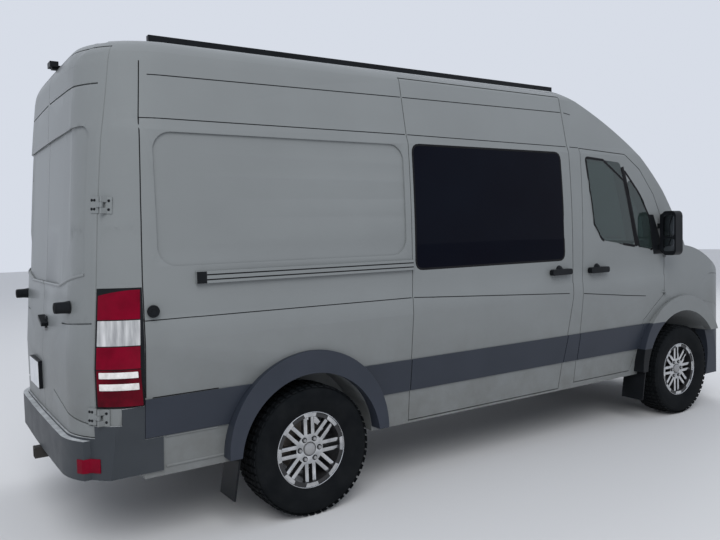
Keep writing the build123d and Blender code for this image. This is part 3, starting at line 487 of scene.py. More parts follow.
def lathe(bm, profile, matrix, count=32, closed=False):
    """Spin a profile of (radius, height) points, in millimetres, about the local Z axis."""
    rings = []
    for step in range(count):
        angle = math.tau * step / count
        turn = (math.cos(angle) / 1000, math.sin(angle) / 1000)
        spots = [Vector((r * turn[0], r * turn[1], h / 1000)) for r, h in profile]
        rings.append([bm.verts.new(matrix @ spot) for spot in spots])
    for near, far in zip(rings, rings[1:] + rings[:1]):
        join_rings(bm, near, far, len(profile) if closed else len(profile) - 1)


def tidy(bm):
    """Merge doubles and turn all faces outward."""
    bmesh.ops.remove_doubles(bm, verts=bm.verts, dist=MERGE_DISTANCE)
    bmesh.ops.recalc_face_normals(bm, faces=bm.faces)
    return bm


def facing(place, normal, up=(0, 0, 1)):
    """A matrix at a place whose Z axis is the normal, with X across and Y as near to up as it can be."""
    z_axis = Vector(normal).normalized()
    x_axis = Vector(up).cross(z_axis).normalized()
    y_axis = z_axis.cross(x_axis)
    turn = Matrix((x_axis, y_axis, z_axis)).transposed().to_4x4()
    return Matrix.Translation(Vector(place)) @ turn


# %% [markdown]
# High up, the rear corners of a van draw in with its sides and its tail. In every level slice the
# corner is one arc that meets both of them. First a table is made from the CAD panels: how wide the
# van is at each height, and where its tail is.

# %% Table of the rear corners
CORNER_MIDDLE = (-883, 608)
CORNER_RADIUS = 385
CORNER_LEAN = 0.072
CORNER_START = 1700
CORNER_FRONT = -500
CORNER_FADE = (2690, 2722)
SIDE_MEASURED_AT = -872
TAIL_MEASURED_AT = 10
TAIL_LINE = ((1600, -1231), (2250, -1184))
CORNER_HEIGHTS = (*range(1700, 2601, 50), 2618, 2645, 2660, 2675, 2690, 2700, 2710, 2718)
CORNER_NODES = ("body_shell", "rear_door_left", "rear_door_right")


def corner_table():
    """Rows of height, half width of the side and place of the tail, in millimetres."""
    plain = skin_of(*CORNER_NODES)
    rows = []
    for height in CORNER_HEIGHTS:
        side = abs(side_place(plain, 1, SIDE_MEASURED_AT, height)[0].y) * 1000
        if height <= TAIL_LINE[1][0]:
            (low, low_x), (high, high_x) = TAIL_LINE
            tail = low_x + (high_x - low_x) * (height - low) / (high - low)
        else:
            tail = (tail_place(plain, TAIL_MEASURED_AT, height)[0].x - REAR_AXLE_X) * 1000
        rows.append((height, side, tail))
    return rows


CORNER_TABLE = corner_table()
print("half width and tail at the top of the corner", [round(v) for v in CORNER_TABLE[-1][1:]])

# %% [markdown]
# The map below moves each point of a slice along a ray from the arc's middle, so that the corner of
# the slice becomes round. It has no effect below the waist, and fades out just under the roof.

# %% Map of the rear corners
WIDEST_RADIUS = 0.55


def corner_slice(height):
    """Half width and tail place at a height, between two rows of the table."""
    for low, high in zip(CORNER_TABLE, CORNER_TABLE[1:]):
        if height <= high[0]:
            t = max(0.0, (height - low[0]) / (high[0] - low[0]))
            return low[1] + (high[1] - low[1]) * t, low[2] + (high[2] - low[2]) * t
    return CORNER_TABLE[-1][1:]


def round_corner(point):
    """Where a point of the plain corner goes on the round one."""
    height = point.z * 1000
    if height <= CORNER_START or point.x > at(CORNER_FRONT):
        return point
    side, tail = corner_slice(height)
    x, y = (point.x - REAR_AXLE_X) * 1000, abs(point.y) * 1000
    radius = min(CORNER_RADIUS, side * WIDEST_RADIUS)
    middle = (tail + radius, side - radius)
    back, out = middle[0] - x, y - middle[1]
    reach = math.hypot(back, out)
    if back <= 0 or out <= 0 or reach < 1:
        return point
    c, s = back / reach, out / reach
    # Along this ray the plain corner ends at its flat side or tail, or at the arc that it has lower down
    plain = min(radius / max(c, 0.001), radius / max(s, 0.001))
    arc = (CORNER_MIDDLE[0] + (height - 1000) * CORNER_LEAN, CORNER_MIDDLE[1])
    gap = (middle[0] - arc[0], middle[1] - arc[1])
    along = -gap[0] * c + gap[1] * s
    inside = along * along - (gap[0] ** 2 + gap[1] ** 2 - CORNER_RADIUS ** 2)
    if inside > 0:
        hit = -along + math.sqrt(inside)
        spot = (middle[0] - c * hit, middle[1] + s * hit)
        if hit > 0 and spot[0] < arc[0] and spot[1] > arc[1]:
            plain = min(plain, hit)
    fade = min(1.0, max(0.0, (CORNER_FADE[1] - height) / (CORNER_FADE[1] - CORNER_FADE[0])))
    scale = 1 + (radius / plain - 1) * fade
    x_new, y_new = middle[0] - back * scale, middle[1] + out * scale
    return Vector((at(x_new), math.copysign(y_new / 1000, point.y), point.z))


# %% [markdown]
# A flat panel can't follow an arc until it has points to bend at, so the panels are cut into fine
# slices at the corners before the map moves their points.

# %% Slices at the rear corners
CORNER_CUTS_X = range(-1180, -700, 32)
CORNER_CUTS_Y = range(380, 900, 40)
CORNER_CUTS_Z = (*range(1750, 2600, 100), *range(2600, 2730, 16))
SLICED_ABOVE = 1.70
SLICED_BEHIND = -720
SLICED_OUTSIDE = 0.36


def slice_near(bm, test, planes):
    """Cut the faces that pass a test with planes, given as (point, normal) pairs."""
    for place, normal in planes:
        faces = [face for face in bm.faces if test(face)]
        edges = {edge for face in faces for edge in face.edges}
        verts = {vert for face in faces for vert in face.verts}
        bmesh.ops.bisect_plane(
            bm, geom=[*faces, *edges, *verts], dist=0.00001, plane_co=place, plane_no=normal
        )


def corner_face(face):
    """Whether a face reaches into the part of the van that the corner map moves."""
    high = max(vert.co.z for vert in face.verts)
    back = min(vert.co.x for vert in face.verts)
    wide = max(abs(vert.co.y) for vert in face.verts)
    return high > SLICED_ABOVE and back < at(SLICED_BEHIND) and wide > SLICED_OUTSIDE


def round_rear_corners(bm):
    """Slice the faces near the rear corners and move their points onto the round ones."""
    planes = [((at(x), 0, 0), (1, 0, 0)) for x in CORNER_CUTS_X]
    planes += [((0, 0, z / 1000), (0, 0, 1)) for z in CORNER_CUTS_Z]
    planes += [((0, sign * y / 1000, 0), (0, 1, 0)) for sign, side in SIDES for y in CORNER_CUTS_Y]
    slice_near(bm, corner_face, planes)
    for vert in bm.verts:
        vert.co = round_corner(vert.co)


# %% [markdown]
# A packed panel is a set of loose triangles. A welded copy of it is shaded smoothly across its soft
# bends and stays crisp at its folds, and a narrow bevel gives each edge the small highlight that
# pressed steel has. Each copy rides on the body of its CAD node, and stands for it.

# %% Panels
BEVEL_ANGLE = math.radians(35)
FLAT_ANGLE = math.radians(0.5)
WELD_DISTANCE = 0.00002


def round_edges(piece, width, segments=2):
    """A narrow bevel along every sharp edge."""
    mod = piece.modifiers.new("rounded edge", "BEVEL")
    mod.width = width
    mod.segments = segments
    mod.limit_method = "ANGLE"
    mod.angle_limit = BEVEL_ANGLE
    mod.harden_normals = True


def add_piece(name, bm, material, body, bevel=0.0, sharp=35.0):
    """A finished object from a bmesh, shaded smoothly, that rides on a body."""
    mesh = bpy.data.meshes.new(name)
    bm.to_mesh(mesh)
    bm.free()
    piece = bpy.data.objects.new(name, mesh)
    bpy.context.scene.collection.objects.link(piece)
    mesh.materials.append(material)
    mesh.shade_smooth()
    mesh.set_sharp_from_angle(angle=math.radians(sharp))
    if bevel:
        round_edges(piece, bevel)
    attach(piece, body)
    return piece


def welded_mesh(node):
    """The CAD node's mesh as a bmesh with its doubles merged."""
    bm = bmesh.new()
    bm.from_mesh(NODES[node].data)
    bmesh.ops.remove_doubles(bm, verts=bm.verts, dist=WELD_DISTANCE)
    return bm


def dress_node(node, ending, bm, material, bevel):
    """The finished piece that stands for a CAD node."""
    piece = add_piece(node + ending, bm, material, body_of(NODES[node])[0], bevel)
    DRESSED[node] = piece
    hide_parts(node)
    return piece


def welded_copy(node, material, bevel, ending="_panel"):
    """A smooth copy of a CAD node. A wheel's face has holes in it, so a wheel keeps its triangles."""
    bm = welded_mesh(node)
    if not node.startswith("wheel"):
        bmesh.ops.dissolve_limit(bm, angle_limit=FLAT_ANGLE, verts=bm.verts, edges=bm.edges)
    if node in CORNER_NODES:
        bmesh.ops.triangulate(bm, faces=[face for face in bm.faces if corner_face(face)])
        round_rear_corners(bm)
    return dress_node(node, ending, bm, material, bevel)


PANELS = (
    # finish, bevel, CAD nodes
    (GREY_PAINT, 0.003, ("body_shell", "sliding_door", "bonnet")),
    (GREY_PAINT, 0.003, ("front_door_left", "front_door_right", "rear_door_left", "rear_door_right")),
    (GREY_PAINT, 0.002, ("door_rail",)),
    (DARK_PLASTIC, 0.003, ("side_cladding", "front_bumper")),
    (STEP_PLASTIC, 0.006, ("rear_bumper",)),
    (BLACK_PLASTIC, 0.002, ("front_grille", "tail_lamps", "plate_holder")),
    (BLACK_PLASTIC, 0.003, ("roof_rack",)),
    (BLACK_PLASTIC, 0.006, ("dashboard",)),
    (BLACK_PLASTIC, 0.012, ("fuel_tank",)),
    (CLEAR_LENS, 0.002, ("headlamps",)),
    (TINTED_GLASS, 0.001, ("windscreen", "door_glass_left", "door_glass_right")),
    (DARK_GLASS, 0.001, ("side_windows",)),
    (UNDERBODY, 0.002, ("tow_hitch", "chassis_rails", "front_subframe", "rear_axle", "leaf_springs")),
    (UNDERBODY, 0.002, ("knuckle_left", "knuckle_right")),
    (UNDERBODY, 0.004, ("engine",)),
    (SATIN_STEEL, 0.0, ("exhaust",)),
)
for finish, bevel, nodes in PANELS:
    for node in nodes:
        welded_copy(node, finish, bevel)
print("welded panels:", len(DRESSED))

# %% [markdown]
# Some nodes hold pieces of two finishes. Their loose parts are told apart by where they are. The same
# copy can also be reshaped point by point, where the photographed van differs from the plain solid.

# %% Two finishes in one node


def part_middles(mesh):
    """For each face of a mesh, the middle of the loose part that the face belongs to."""
    group = list(range(len(mesh.vertices)))

    def leader(index):
        while group[index] != index:
            group[index] = group[group[index]]
            index = group[index]
        return index

    for edge in mesh.edges:
        first, second = (leader(index) for index in edge.vertices)
        group[first] = second
    sums = {}
    for vertex in mesh.vertices:
        total, count = sums.get(leader(vertex.index), (Vector(), 0))
        sums[leader(vertex.index)] = (total + vertex.co, count + 1)
    found = []
    for polygon in mesh.polygons:
        total, count = sums[leader(polygon.vertices[0])]
        found.append(total / count)
    return found


def split_copy(node, finish, bevel=0.003, shape=None, test=None, other=None, cuts=()):
    """A welded copy, reshaped. Its loose parts whose middle passes the test have the other finish."""
    bm = welded_mesh(node)
    if shape:
        for vert in bm.verts:
            vert.co = shape(vert.co)
    bmesh.ops.dissolve_limit(bm, angle_limit=FLAT_ANGLE, verts=bm.verts, edges=bm.edges)
    slice_near(bm, lambda face: True, cuts)
    piece = dress_node(node, "_panel", bm, finish, bevel)
    if test:
        piece.data.materials.append(other)
        for polygon, middle in zip(piece.data.polygons, part_middles(piece.data)):
            polygon.material_index = int(test(middle))
    return piece


# %% [markdown]
# The arch trims behind are dark plastic. Those in front are painted like the wing above the cladding,
# dark beside it and black under it, so they are cut at the cladding's two edges.

# %% Arch trims
CLADDING_EDGES = (0.622, 0.828)
arches = split_copy(
    "arch_trims",
    GREY_PAINT,
    bevel=0.007,
    test=lambda middle: middle.x <= 0,
    other=DARK_PLASTIC,
    cuts=[((0, 0, z), (0, 0, 1)) for z in CLADDING_EDGES],
)
arches.data.materials.append(BLACK_PLASTIC)
for polygon in arches.data.polygons:
    if 0 < polygon.center.x < at(WHEELBASE) and polygon.center.z < CLADDING_EDGES[1]:
        polygon.material_index = 1 if polygon.center.z > CLADDING_EDGES[0] else 2

# %% [markdown]
# The headlamp glass of this van looks forward. The lamps' faces that look sideways are part of the
# painted wing.

# %% Headlamp sides
LAMP_SIDE = 0.55
headlamps = DRESSED["headlamps"].data
headlamps.materials.append(GREY_PAINT)
painted = [polygon for polygon in headlamps.polygons if abs(polygon.normal.y) > LAMP_SIDE]
for polygon in painted:
    polygon.material_index = 1
print("painted faces of the headlamps:", len(painted))

# %% [markdown]
# The camera over the rear doors is scaled about its own foot. The mud flaps hang almost to the road
# and lean back as they go down.

# %% Camera and mud flaps
CAMERA_SCALE = 0.68
CAMERA_VERTS = [vertex.co for vertex in NODES["rear_camera"].data.vertices]
CAMERA_FOOT = Vector((max(v.x for v in CAMERA_VERTS), 0.0, min(v.z for v in CAMERA_VERTS)))
FLAP_HEIGHTS = ((235, 500), (250, 480))
FLAP_REACH = (0.200, 0.597)
FLAP_LEAN = 0.174
FLAP_PIVOT = 0.33


def shape_flap(point):
    """A mud flap that reaches from the arch almost to the road and leans back as it goes down."""
    low, high = FLAP_HEIGHTS[0] if point.x < 0 else FLAP_HEIGHTS[1]
    part = (point.z * 1000 - low) / (high - low)
    height = FLAP_REACH[0] + (FLAP_REACH[1] - FLAP_REACH[0]) * part
    return Vector((point.x + (height - FLAP_PIVOT) * FLAP_LEAN, point.y, height))


split_copy(
    "rear_camera", BLACK_PLASTIC, bevel=0.004, shape=lambda p: CAMERA_FOOT + (p - CAMERA_FOOT) * CAMERA_SCALE
)
split_copy("mud_flaps", BLACK_PLASTIC, bevel=0.002, shape=shape_flap)

# %% [markdown]
# The rear doors hang on painted hinge leaves that follow the round corner. On the doors there are
# also a black stop buffer each, and on the right one the lever of the handle.

# %% Rear door fittings
HINGE_NARROWING = 0.55
HINGE_ANGLE = math.atan2(292, 286)
HINGES_OUTSIDE = 760
HINGES_BEHIND = -1000
TAIL_X = -1274
BUFFER_PLACE = (675, 1303)
BUFFER_TIP_X = -1313
BUFFER_REACH = 60
BUFFER_LENGTH = 0.072
BUFFER_WIDENING = 0.42
LEVER_PLACE = (-110, 1190)
LEVER_TURN = math.radians(22)
LEVER_SCALE = (0.74, 0.6)
LEVER_DEPTH = 0.7


def narrow_hinge(point):
    """A hinge leaf drawn in along the round corner, towards the hinge's axis."""
    lean = max(0.0, point.z * 1000 - 1000) * CORNER_LEAN
    back = at(CORNER_MIDDLE[0] + lean) - point.x
    out = abs(point.y) - CORNER_MIDDLE[1] / 1000
    reach, angle = math.hypot(back, out), math.atan2(out, back)
    angle = HINGE_ANGLE + (angle - HINGE_ANGLE) * HINGE_NARROWING
    x_new = at(CORNER_MIDDLE[0] + lean) - reach * math.cos(angle)
    y_new = CORNER_MIDDLE[1] / 1000 + reach * math.sin(angle)
    return Vector((x_new, math.copysign(y_new, point.y), point.z))


def stout_buffer(point):
    """A stop buffer that is short and grows wider towards its tip."""
    tip = min(1.0, max(0.0, (at(TAIL_X) - point.x) / BUFFER_LENGTH))
    x_new = point.x if tip == 0 else at(TAIL_X) - tip * (TAIL_X - BUFFER_TIP_X) / 1000
    middle = Vector((0, math.copysign(BUFFER_PLACE[0], point.y), BUFFER_PLACE[1])) / 1000
    aside = (Vector((0, point.y, point.z)) - middle) * (1 + BUFFER_WIDENING * tip)
    return Vector((x_new, middle.y + aside.y, middle.z + aside.z))


def turned_lever(point):
    """The handle's lever, made smaller and thinner and turned about its base."""
    aside = (point.y * 1000 - LEVER_PLACE[0]) * LEVER_SCALE[0]
    upward = (point.z * 1000 - LEVER_PLACE[1]) * LEVER_SCALE[1]
    c, s = math.cos(LEVER_TURN), math.sin(LEVER_TURN)
    y_new = LEVER_PLACE[0] + aside * c - upward * s
    z_new = LEVER_PLACE[1] + aside * s + upward * c
    x_new = at(TAIL_X) + (point.x - at(TAIL_X)) * (LEVER_DEPTH if point.x < at(TAIL_X) else 1.0)
    return Vector((x_new, y_new / 1000, z_new / 1000))


def shape_fitting(point):
    """A point of the rear door fittings: of a hinge leaf, of a buffer or of the lever."""
    y, z = abs(point.y) * 1000, point.z * 1000
    if y > HINGES_OUTSIDE:
        return narrow_hinge(point)
    if math.hypot(y - BUFFER_PLACE[0], z - BUFFER_PLACE[1]) < BUFFER_REACH:
        return stout_buffer(point)
    return turned_lever(point)


split_copy(
    "rear_hinges",
    GREY_PAINT,
    shape=lambda p: narrow_hinge(p) if p.x < at(HINGES_BEHIND) else p,
    test=lambda middle: middle.x >= at(HINGES_BEHIND),
    other=BLACK_PLASTIC,
)
for sign, side in SIDES:
    split_copy(
        f"rear_door_fittings_{side}",
        GREY_PAINT,
        shape=shape_fitting,
        test=lambda middle: abs(middle.y) * 1000 <= HINGES_OUTSIDE,
        other=BLACK_PLASTIC,
    )

# %% [markdown]
# The side handles of this van are a little longer and stouter than the solids and sit lower on their
# panels. A cab door's trim node also holds the strip of dark cladding along the door's foot, which
# keeps its shape. The mirror heads are drawn in across, with their arms as they are.

# %% Handles and mirror heads
SLIDE_HANDLE = (2105, 1350)
DOOR_HANDLE = (2530, 1345)
HANDLE_SCALE = (1.12, 1.3)
HANDLE_DROP = 0.035
HANDLE_PROUD = 0.003
CLADDING_BELOW = 1.1
MIRROR_ACROSS = 1.105
MIRROR_ARM_END = 1.03
MIRROR_NARROWING = 0.78


def shape_handle(point, middle):
    """A side handle that is a little longer and stouter, and sits lower on its panel."""
    if point.z < CLADDING_BELOW:
        return point
    x_middle, z_middle = at(middle[0]), middle[1] / 1000
    x_new = x_middle + (point.x - x_middle) * HANDLE_SCALE[0]
    z_new = z_middle + (point.z - z_middle) * HANDLE_SCALE[1] - HANDLE_DROP
    return Vector((x_new, point.y + math.copysign(HANDLE_PROUD, point.y), z_new))


def shape_mirror(point):
    """A mirror head drawn in across, with its arms as they are."""
    if abs(point.y) < MIRROR_ARM_END:
        return point
    across = MIRROR_ACROSS + (abs(point.y) - MIRROR_ACROSS) * MIRROR_NARROWING
    return Vector((point.x, math.copysign(across, point.y), point.z))


split_copy("slide_handle", BLACK_PLASTIC, bevel=0.005, shape=lambda p: shape_handle(p, SLIDE_HANDLE))
for sign, side in SIDES:
    split_copy(
        f"door_trim_{side}",
        DARK_PLASTIC,
        bevel=0.005,
        shape=lambda p: shape_handle(p, DOOR_HANDLE),
        test=lambda middle: middle.z >= CLADDING_BELOW,
        other=BLACK_PLASTIC,
    )
    split_copy(f"mirror_{side}", BLACK_PLASTIC, bevel=0.014, shape=shape_mirror)
print("dressed nodes so far:", len(DRESSED), "of", len(NODES))

# %% [markdown]
# From here on, the ray finder looks at the dressed panels. Each skin below is one search tree, for the
# seams and lamps of one side of the van.

# %% Skins of the dressed van
SIDE_PANELS = ("body_shell", "sliding_door", "front_door_left", "front_door_right", "bonnet")
SIDE_SKIN = skin_of(*SIDE_PANELS, "side_cladding", "side_windows", "door_glass_left", "door_glass_right")
TAIL_SKIN = skin_of(*CORNER_NODES)
BUMPER_SKIN = skin_of("rear_bumper")
RAIL_SKIN = skin_of("door_rail")
NOSE_SKIN = skin_of("body_shell", "windscreen", "front_grille", "headlamps", "bonnet", "front_bumper")
LAMP_SKIN = skin_of("headlamps")
print("seam finder at the rear side panel", [round(v, 3) for v in side_place(SIDE_SKIN, -1, 0, 1700)[0]])

# %% [markdown]
# Most of the small pieces are made in one of three ways: as strips along a path, as a sheet over a
# grid of places, or as a profile that is spun about an axis. Each way has a short function that also
# gives the piece its finish and its body.

# %% Three kinds of small piece


def strip_piece(name, paths, finish, body, width, height, closed=False, sharp=35.0):
    """One piece of several strips, all of the same width and height."""
    bm = bmesh.new()
    for path in paths:
        add_strip(bm, path, width, height, closed=closed)
    return add_piece(name, tidy(bm), finish, body, sharp=sharp)


def plate_piece(name, rows, finish, body, lift, depth, bevel):
    """One piece that is a closed sheet over rows of places and normals."""
    bm = bmesh.new()
    add_plate(bm, rows, lift, depth)
    return add_piece(name, tidy(bm), finish, body, bevel)


def turned_piece(name, profile, matrix, finish, body, count=32, closed=False):
    """One piece that is a profile spun about the Z axis of a matrix."""
    bm = bmesh.new()
    lathe(bm, profile, matrix, count, closed)
    return add_piece(name, tidy(bm), finish, body)


def side_path(sign, line, step=40.0, skin=SIDE_SKIN):
    """Places and normals along a line on the side of the van."""
    return [side_place(skin, sign, *point) for point in stations(line, step)]


def nose_path(line, step=40.0):
    """Places and normals along a line on the nose of the van."""
    return [nose_place(NOSE_SKIN, *point) for point in stations(line, step)]


# %% [markdown]
# Pressed lines and seams are thin dark strips on the side: the gutter, the groove in the roof's side, the
# belt line, the seam ahead of the tail lamp and the one above the front wing. On the gutter, the groove,
# the belt line and the door creases the strip is painted shade, the shade that falls in the groove or
# under the crease; on the seams it is the dark joint. The door gaps are real gaps in the CAD panels,
# so each strip stops at them and rides on the panel it belongs to.

# %% Side seams and painted shade lines
BODY_LINES = (
    # the points of a line: distance ahead of the rear axle and height
    ((-922, 2252), (735, 2252)),
    ((2268, 2240), (2360, 2238)),
    ((-860, 2478), (735, 2492)),
    ((2262, 2500), (2330, 2490)),
    ((-944, 1231), (735, 1225)),
    ((-950, 838), (-949, 1439), (-939, 1837), (-924, 2226), (-902, 2444), (-892, 2549)),
    ((-955, 832), (-560, 832)),
)
LEFT_LINES = (
    ((735, 2252), (2268, 2240)),
    ((735, 2492), (2262, 2500)),
    ((735, 1225), (2240, 1146)),
)
SLIDE_LINES = (
    ((754, 1225), (2215, 1148)),
    ((754, 2252), (2225, 2240)),
    ((754, 2492), (2225, 2500)),
)
DOOR_LINE = ((2378, 1136), (2900, 1084), (3150, 1062))
# The strips are near-black; along the pressed lines they are painted shade.
SEAM_AND_SHADE_WIDTH = 0.007
SEAM_AND_SHADE_HEIGHT = 0.001


def seam_and_shade_piece(name, body, paths):
    """Thin dark strips for one body: painted shade along its pressed lines, dark joints along its seams."""
    strip_piece(name, paths, SEAL_RUBBER_AND_SHADE, body, SEAM_AND_SHADE_WIDTH, SEAM_AND_SHADE_HEIGHT)


body_paths = [side_path(sign, line) for sign, side in SIDES for line in BODY_LINES]
body_paths += [side_path(1, line) for line in LEFT_LINES]
seam_and_shade_piece("body_seams", "body", body_paths)
# The sliding door carries the belt line, the roof's groove and the gutter, so its strips are painted shade.
seam_and_shade_piece("slide_door_seams", "body", [side_path(-1, line) for line in SLIDE_LINES])
for sign, side in SIDES:
    # The strip along the crease of each cab door is painted shade.
    seam_and_shade_piece(f"door_crease_{side}", f"front_door_{side}", [side_path(sign, DOOR_LINE)])
print("seams on the body:", len(body_paths))

# %% [markdown]
# The same strips, wider and painted, make the pressed ridges: the V across the rear doors, and the
# two folds of the sill panel behind the rear wheel.

# %% Pressed ridges
V_RIDGE = ((796, 1470), (434, 1403), (12, 1403))
SILL_FOLDS = (((-846, 614), (-560, 614)), ((-846, 452), (-520, 452)))
RIDGE_STEP = 30.0


def ridge_piece(name, body, paths, height):
    """Wide low strips in the van's paint."""
    strip_piece(name, paths, GREY_PAINT, body, width=0.016, height=height, sharp=60.0)


for sign, side in SIDES:
    ridge = [tail_place(TAIL_SKIN, sign * y, z) for y, z in stations(V_RIDGE, RIDGE_STEP)]
    ridge_piece(f"door_ridge_{side}", f"rear_door_{side}", [ridge], 0.005)
    folds = [side_path(sign, line, RIDGE_STEP) for line in SILL_FOLDS]
    ridge_piece(f"sill_folds_{side}", "body", folds, 0.004)

# %% [markdown]
# Every pane sits in a black rubber seal. The seal follows the pane's outline, from the same numbers
# that the CAD panes have. A wider strip covers the gap between the two panes of a cab door.

# %% Window seals
SLIDE_WINDOW = ((775, 1402), (2165, 1402), (2140, 2190), (775, 2190))
DOOR_WINDOWS = (
    ((2600, 1535), (3015, 1475), (2835, 2140), (2425, 2168), (2500, 1660)),
    ((3055, 1468), (3245, 1440), (3205, 1690), (3060, 1905), (2880, 2085)),
)
PANE_DIVIDER = ((3035, 1478), (2860, 2106))
SLIDE_CORNER = 55.0
DOOR_CORNER = 30.0
SEAL_STEP = 60.0


def round_corners(points, corner, steps=4):
    """The outline with each corner replaced by a short curve."""
    found = []
    for before, point, after in zip(points[-1:] + points[:-1], points, points[1:] + points[:1]):
        p = Vector(point)
        start = p + (Vector(before) - p).normalized() * corner
        end = p + (Vector(after) - p).normalized() * corner
        for k in range(steps + 1):
            t = k / steps
            spot = start * (1 - t) ** 2 + p * 2 * t * (1 - t) + end * t * t
            found.append((spot.x, spot.y))
    return found


def seal_path(sign, outline, corner):
    """The closed path of a seal, round a pane's outline with its corners rounded."""
    points = round_corners(outline, corner)
    return side_path(sign, points + points[:1], SEAL_STEP)[:-1]


for sign, side in SIDES:
    slide_seal = seal_path(sign, SLIDE_WINDOW, SLIDE_CORNER)
    strip_piece(
        f"slide_window_seal_{side}", [slide_seal], SEAL_RUBBER_AND_SHADE, "body",
        width=0.016, height=0.0015, closed=True,
    )
    bm = bmesh.new()
    for outline in DOOR_WINDOWS:
        add_strip(bm, seal_path(sign, outline, DOOR_CORNER), width=0.022, height=0.002, closed=True)
    add_strip(bm, side_path(sign, PANE_DIVIDER), width=0.046, height=0.0025)
    add_piece(f"door_window_seal_{side}", tidy(bm), SEAL_RUBBER_AND_SHADE, f"front_door_{side}")
print("places along the sliding door's window seal:", len(slide_seal))

# %% [markdown]
# The sliding door's rail is a painted channel with two slots along it, whose shade is painted as two
# dark strips, and a black cap at its rear end.

# %% Rail
RAIL_SLOT_SHADE_LINES = tuple(((-650, height), (738, height)) for height in (1421, 1447))
RAIL_CAP = ((-676, -660, -640, -622), (1403, 1418, 1434, 1450, 1465))
rail_paths = [side_path(-1, line, skin=RAIL_SKIN) for line in RAIL_SLOT_SHADE_LINES]
# Two dark strips paint the shade inside the rail's slots.
strip_piece("rail_slots", rail_paths, SEAL_RUBBER_AND_SHADE, "body", width=0.009, height=0.0006)
cap_rows = [[side_place(RAIL_SKIN, -1, place, height) for place in RAIL_CAP[0]] for height in RAIL_CAP[1]]
plate_piece(
    "rail_end_cap", cap_rows, BLACK_PLASTIC, "body", lift=0.003, depth=0.004, bevel=0.0015
)

# %% [markdown]
# The tail lamps wrap round the corner of the body, which is an arc in plan that leans forward with
# height. Each lens is a thin shell on that arc with a small gap round it, so the black lamp body
# shows as a border. The side edge of the lamp leans back as it rises.

# %% Tail lamps
LAMP_ANGLES = (42.8, 77.0)
BAR_ANGLES = (45.0, 75.0)
LAMP_FOOT = 808
LAMP_LEAN = -0.0052
LENSES = (
    # name, angles, heights, drop of the top edge, lift, finish, slot
    ("top", LAMP_ANGLES, (1244, 1392), 26, 0.005, RED_LENS, "red_lens"),
    ("clear", LAMP_ANGLES, (1112, 1240), 0, 0.004, CLEAR_LENS, "clear_lens"),
    ("middle", LAMP_ANGLES, (996, 1108), 0, 0.005, RED_LENS, "red_lens"),
    ("low", LAMP_ANGLES, (LAMP_FOOT, 992), 0, 0.004, DEEP_RED_LENS, "red_lens"),
    ("upper_bar", BAR_ANGLES, (950, 982), 0, 0.007, REFLECTOR_WHITE, "clear_lens"),
    ("lower_bar", BAR_ANGLES, (890, 924), 0, 0.007, REFLECTOR_WHITE, "clear_lens"),
)


def corner_place(sign, angle, height):
    """Place and normal on the corner arc, from an angle in degrees from the tail towards the side."""
    lean = max(0.0, height - 1000) * CORNER_LEAN
    turn = math.radians(angle)
    normal = Vector((-math.cos(turn), sign * math.sin(turn), 0.0))
    middle = Vector((at(CORNER_MIDDLE[0] + lean), sign * CORNER_MIDDLE[1] / 1000, height / 1000))
    return middle + normal * CORNER_RADIUS / 1000, normal


def corner_rows(sign, angles, heights, drop, wide=14, high=6):
    """Rows of places on the corner arc, whose top can drop towards the tail."""
    rows = []
    for i, height in enumerate(even_steps(*heights, high)):
        width = angles[1] + LAMP_LEAN * (height - LAMP_FOOT) - angles[0]
        rows.append([
            corner_place(sign, angles[0] + width * j / wide, height - drop * i / high * (1 - j / wide) ** 2)
            for j in range(wide + 1)
        ])
    return rows


for sign, side in SIDES:
    for name, angles, heights, drop, lift, finish, slot in LENSES:
        rows = corner_rows(sign, angles, heights, drop)
        plate_piece(f"tail_lens_{name}_{side}", rows, finish, "body", lift, depth=0.004, bevel=0.003)
print("lenses on each tail lamp:", len(LENSES))

# %% [markdown]
# A red reflector sits in each end of the rear bumper. A ray towards the middle of the body's corner
# finds the bumper's own, rounder corner.

# %% Bumper reflectors
REFLECTOR_ANGLES = (27, 44)
REFLECTOR_HEIGHTS = (474, 546)


def bumper_place(sign, angle, height):
    """Place and normal on the rear bumper's corner, from an angle towards the side."""
    middle = Vector((at(CORNER_MIDDLE[0]), sign * CORNER_MIDDLE[1] / 1000, height / 1000))
    turn = math.radians(angle)
    outward = Vector((-math.cos(turn), sign * math.sin(turn), 0.0))
    return BUMPER_SKIN.ray_cast(middle + outward, -outward)[:2]


for sign, side in SIDES:
    rows = [
        [bumper_place(sign, angle, height) for angle in even_steps(*REFLECTOR_ANGLES, 10)]
        for height in even_steps(*REFLECTOR_HEIGHTS, 3)
    ]
    name = f"bumper_reflector_{side}"
    plate_piece(name, rows, RED_LENS, "body", lift=0.005, depth=0.004, bevel=0.002)

# %% [markdown]
# The hinge plates of the rear doors have four dark bolts on the door's half and two on the body's
# half. The plate on the door is in a plane that leans with the hinge axis. A bolt's place is worked
# out on the plain leaf and then drawn in with it.

# %% Hinge bolts
HINGES = ((-1169, 759), (-1110, 1818))
HINGE_ACROSS = 0.9
LEAN = Vector((59, 0, 1059)).normalized()
ACROSS = Vector((LEAN.z, 0, -LEAN.x))
# The two ends of each leaf's outer face, in millimetres from the hinge's axis
DOOR_LEAF = ((-67.4, -115.5), (-36.7, -64.2))
BODY_LEAF = ((28.0, 8.0), (77.5, 43.5))
DOOR_BOLTS = (0.22, 0.70)
BODY_BOLTS = (0.5,)
BOLT_HEIGHTS = (-22, 22)
BOLT_HEAD = ((0, 3.2), (6.4, 3.2), (7.6, 2.2), (7.8, -3.0))


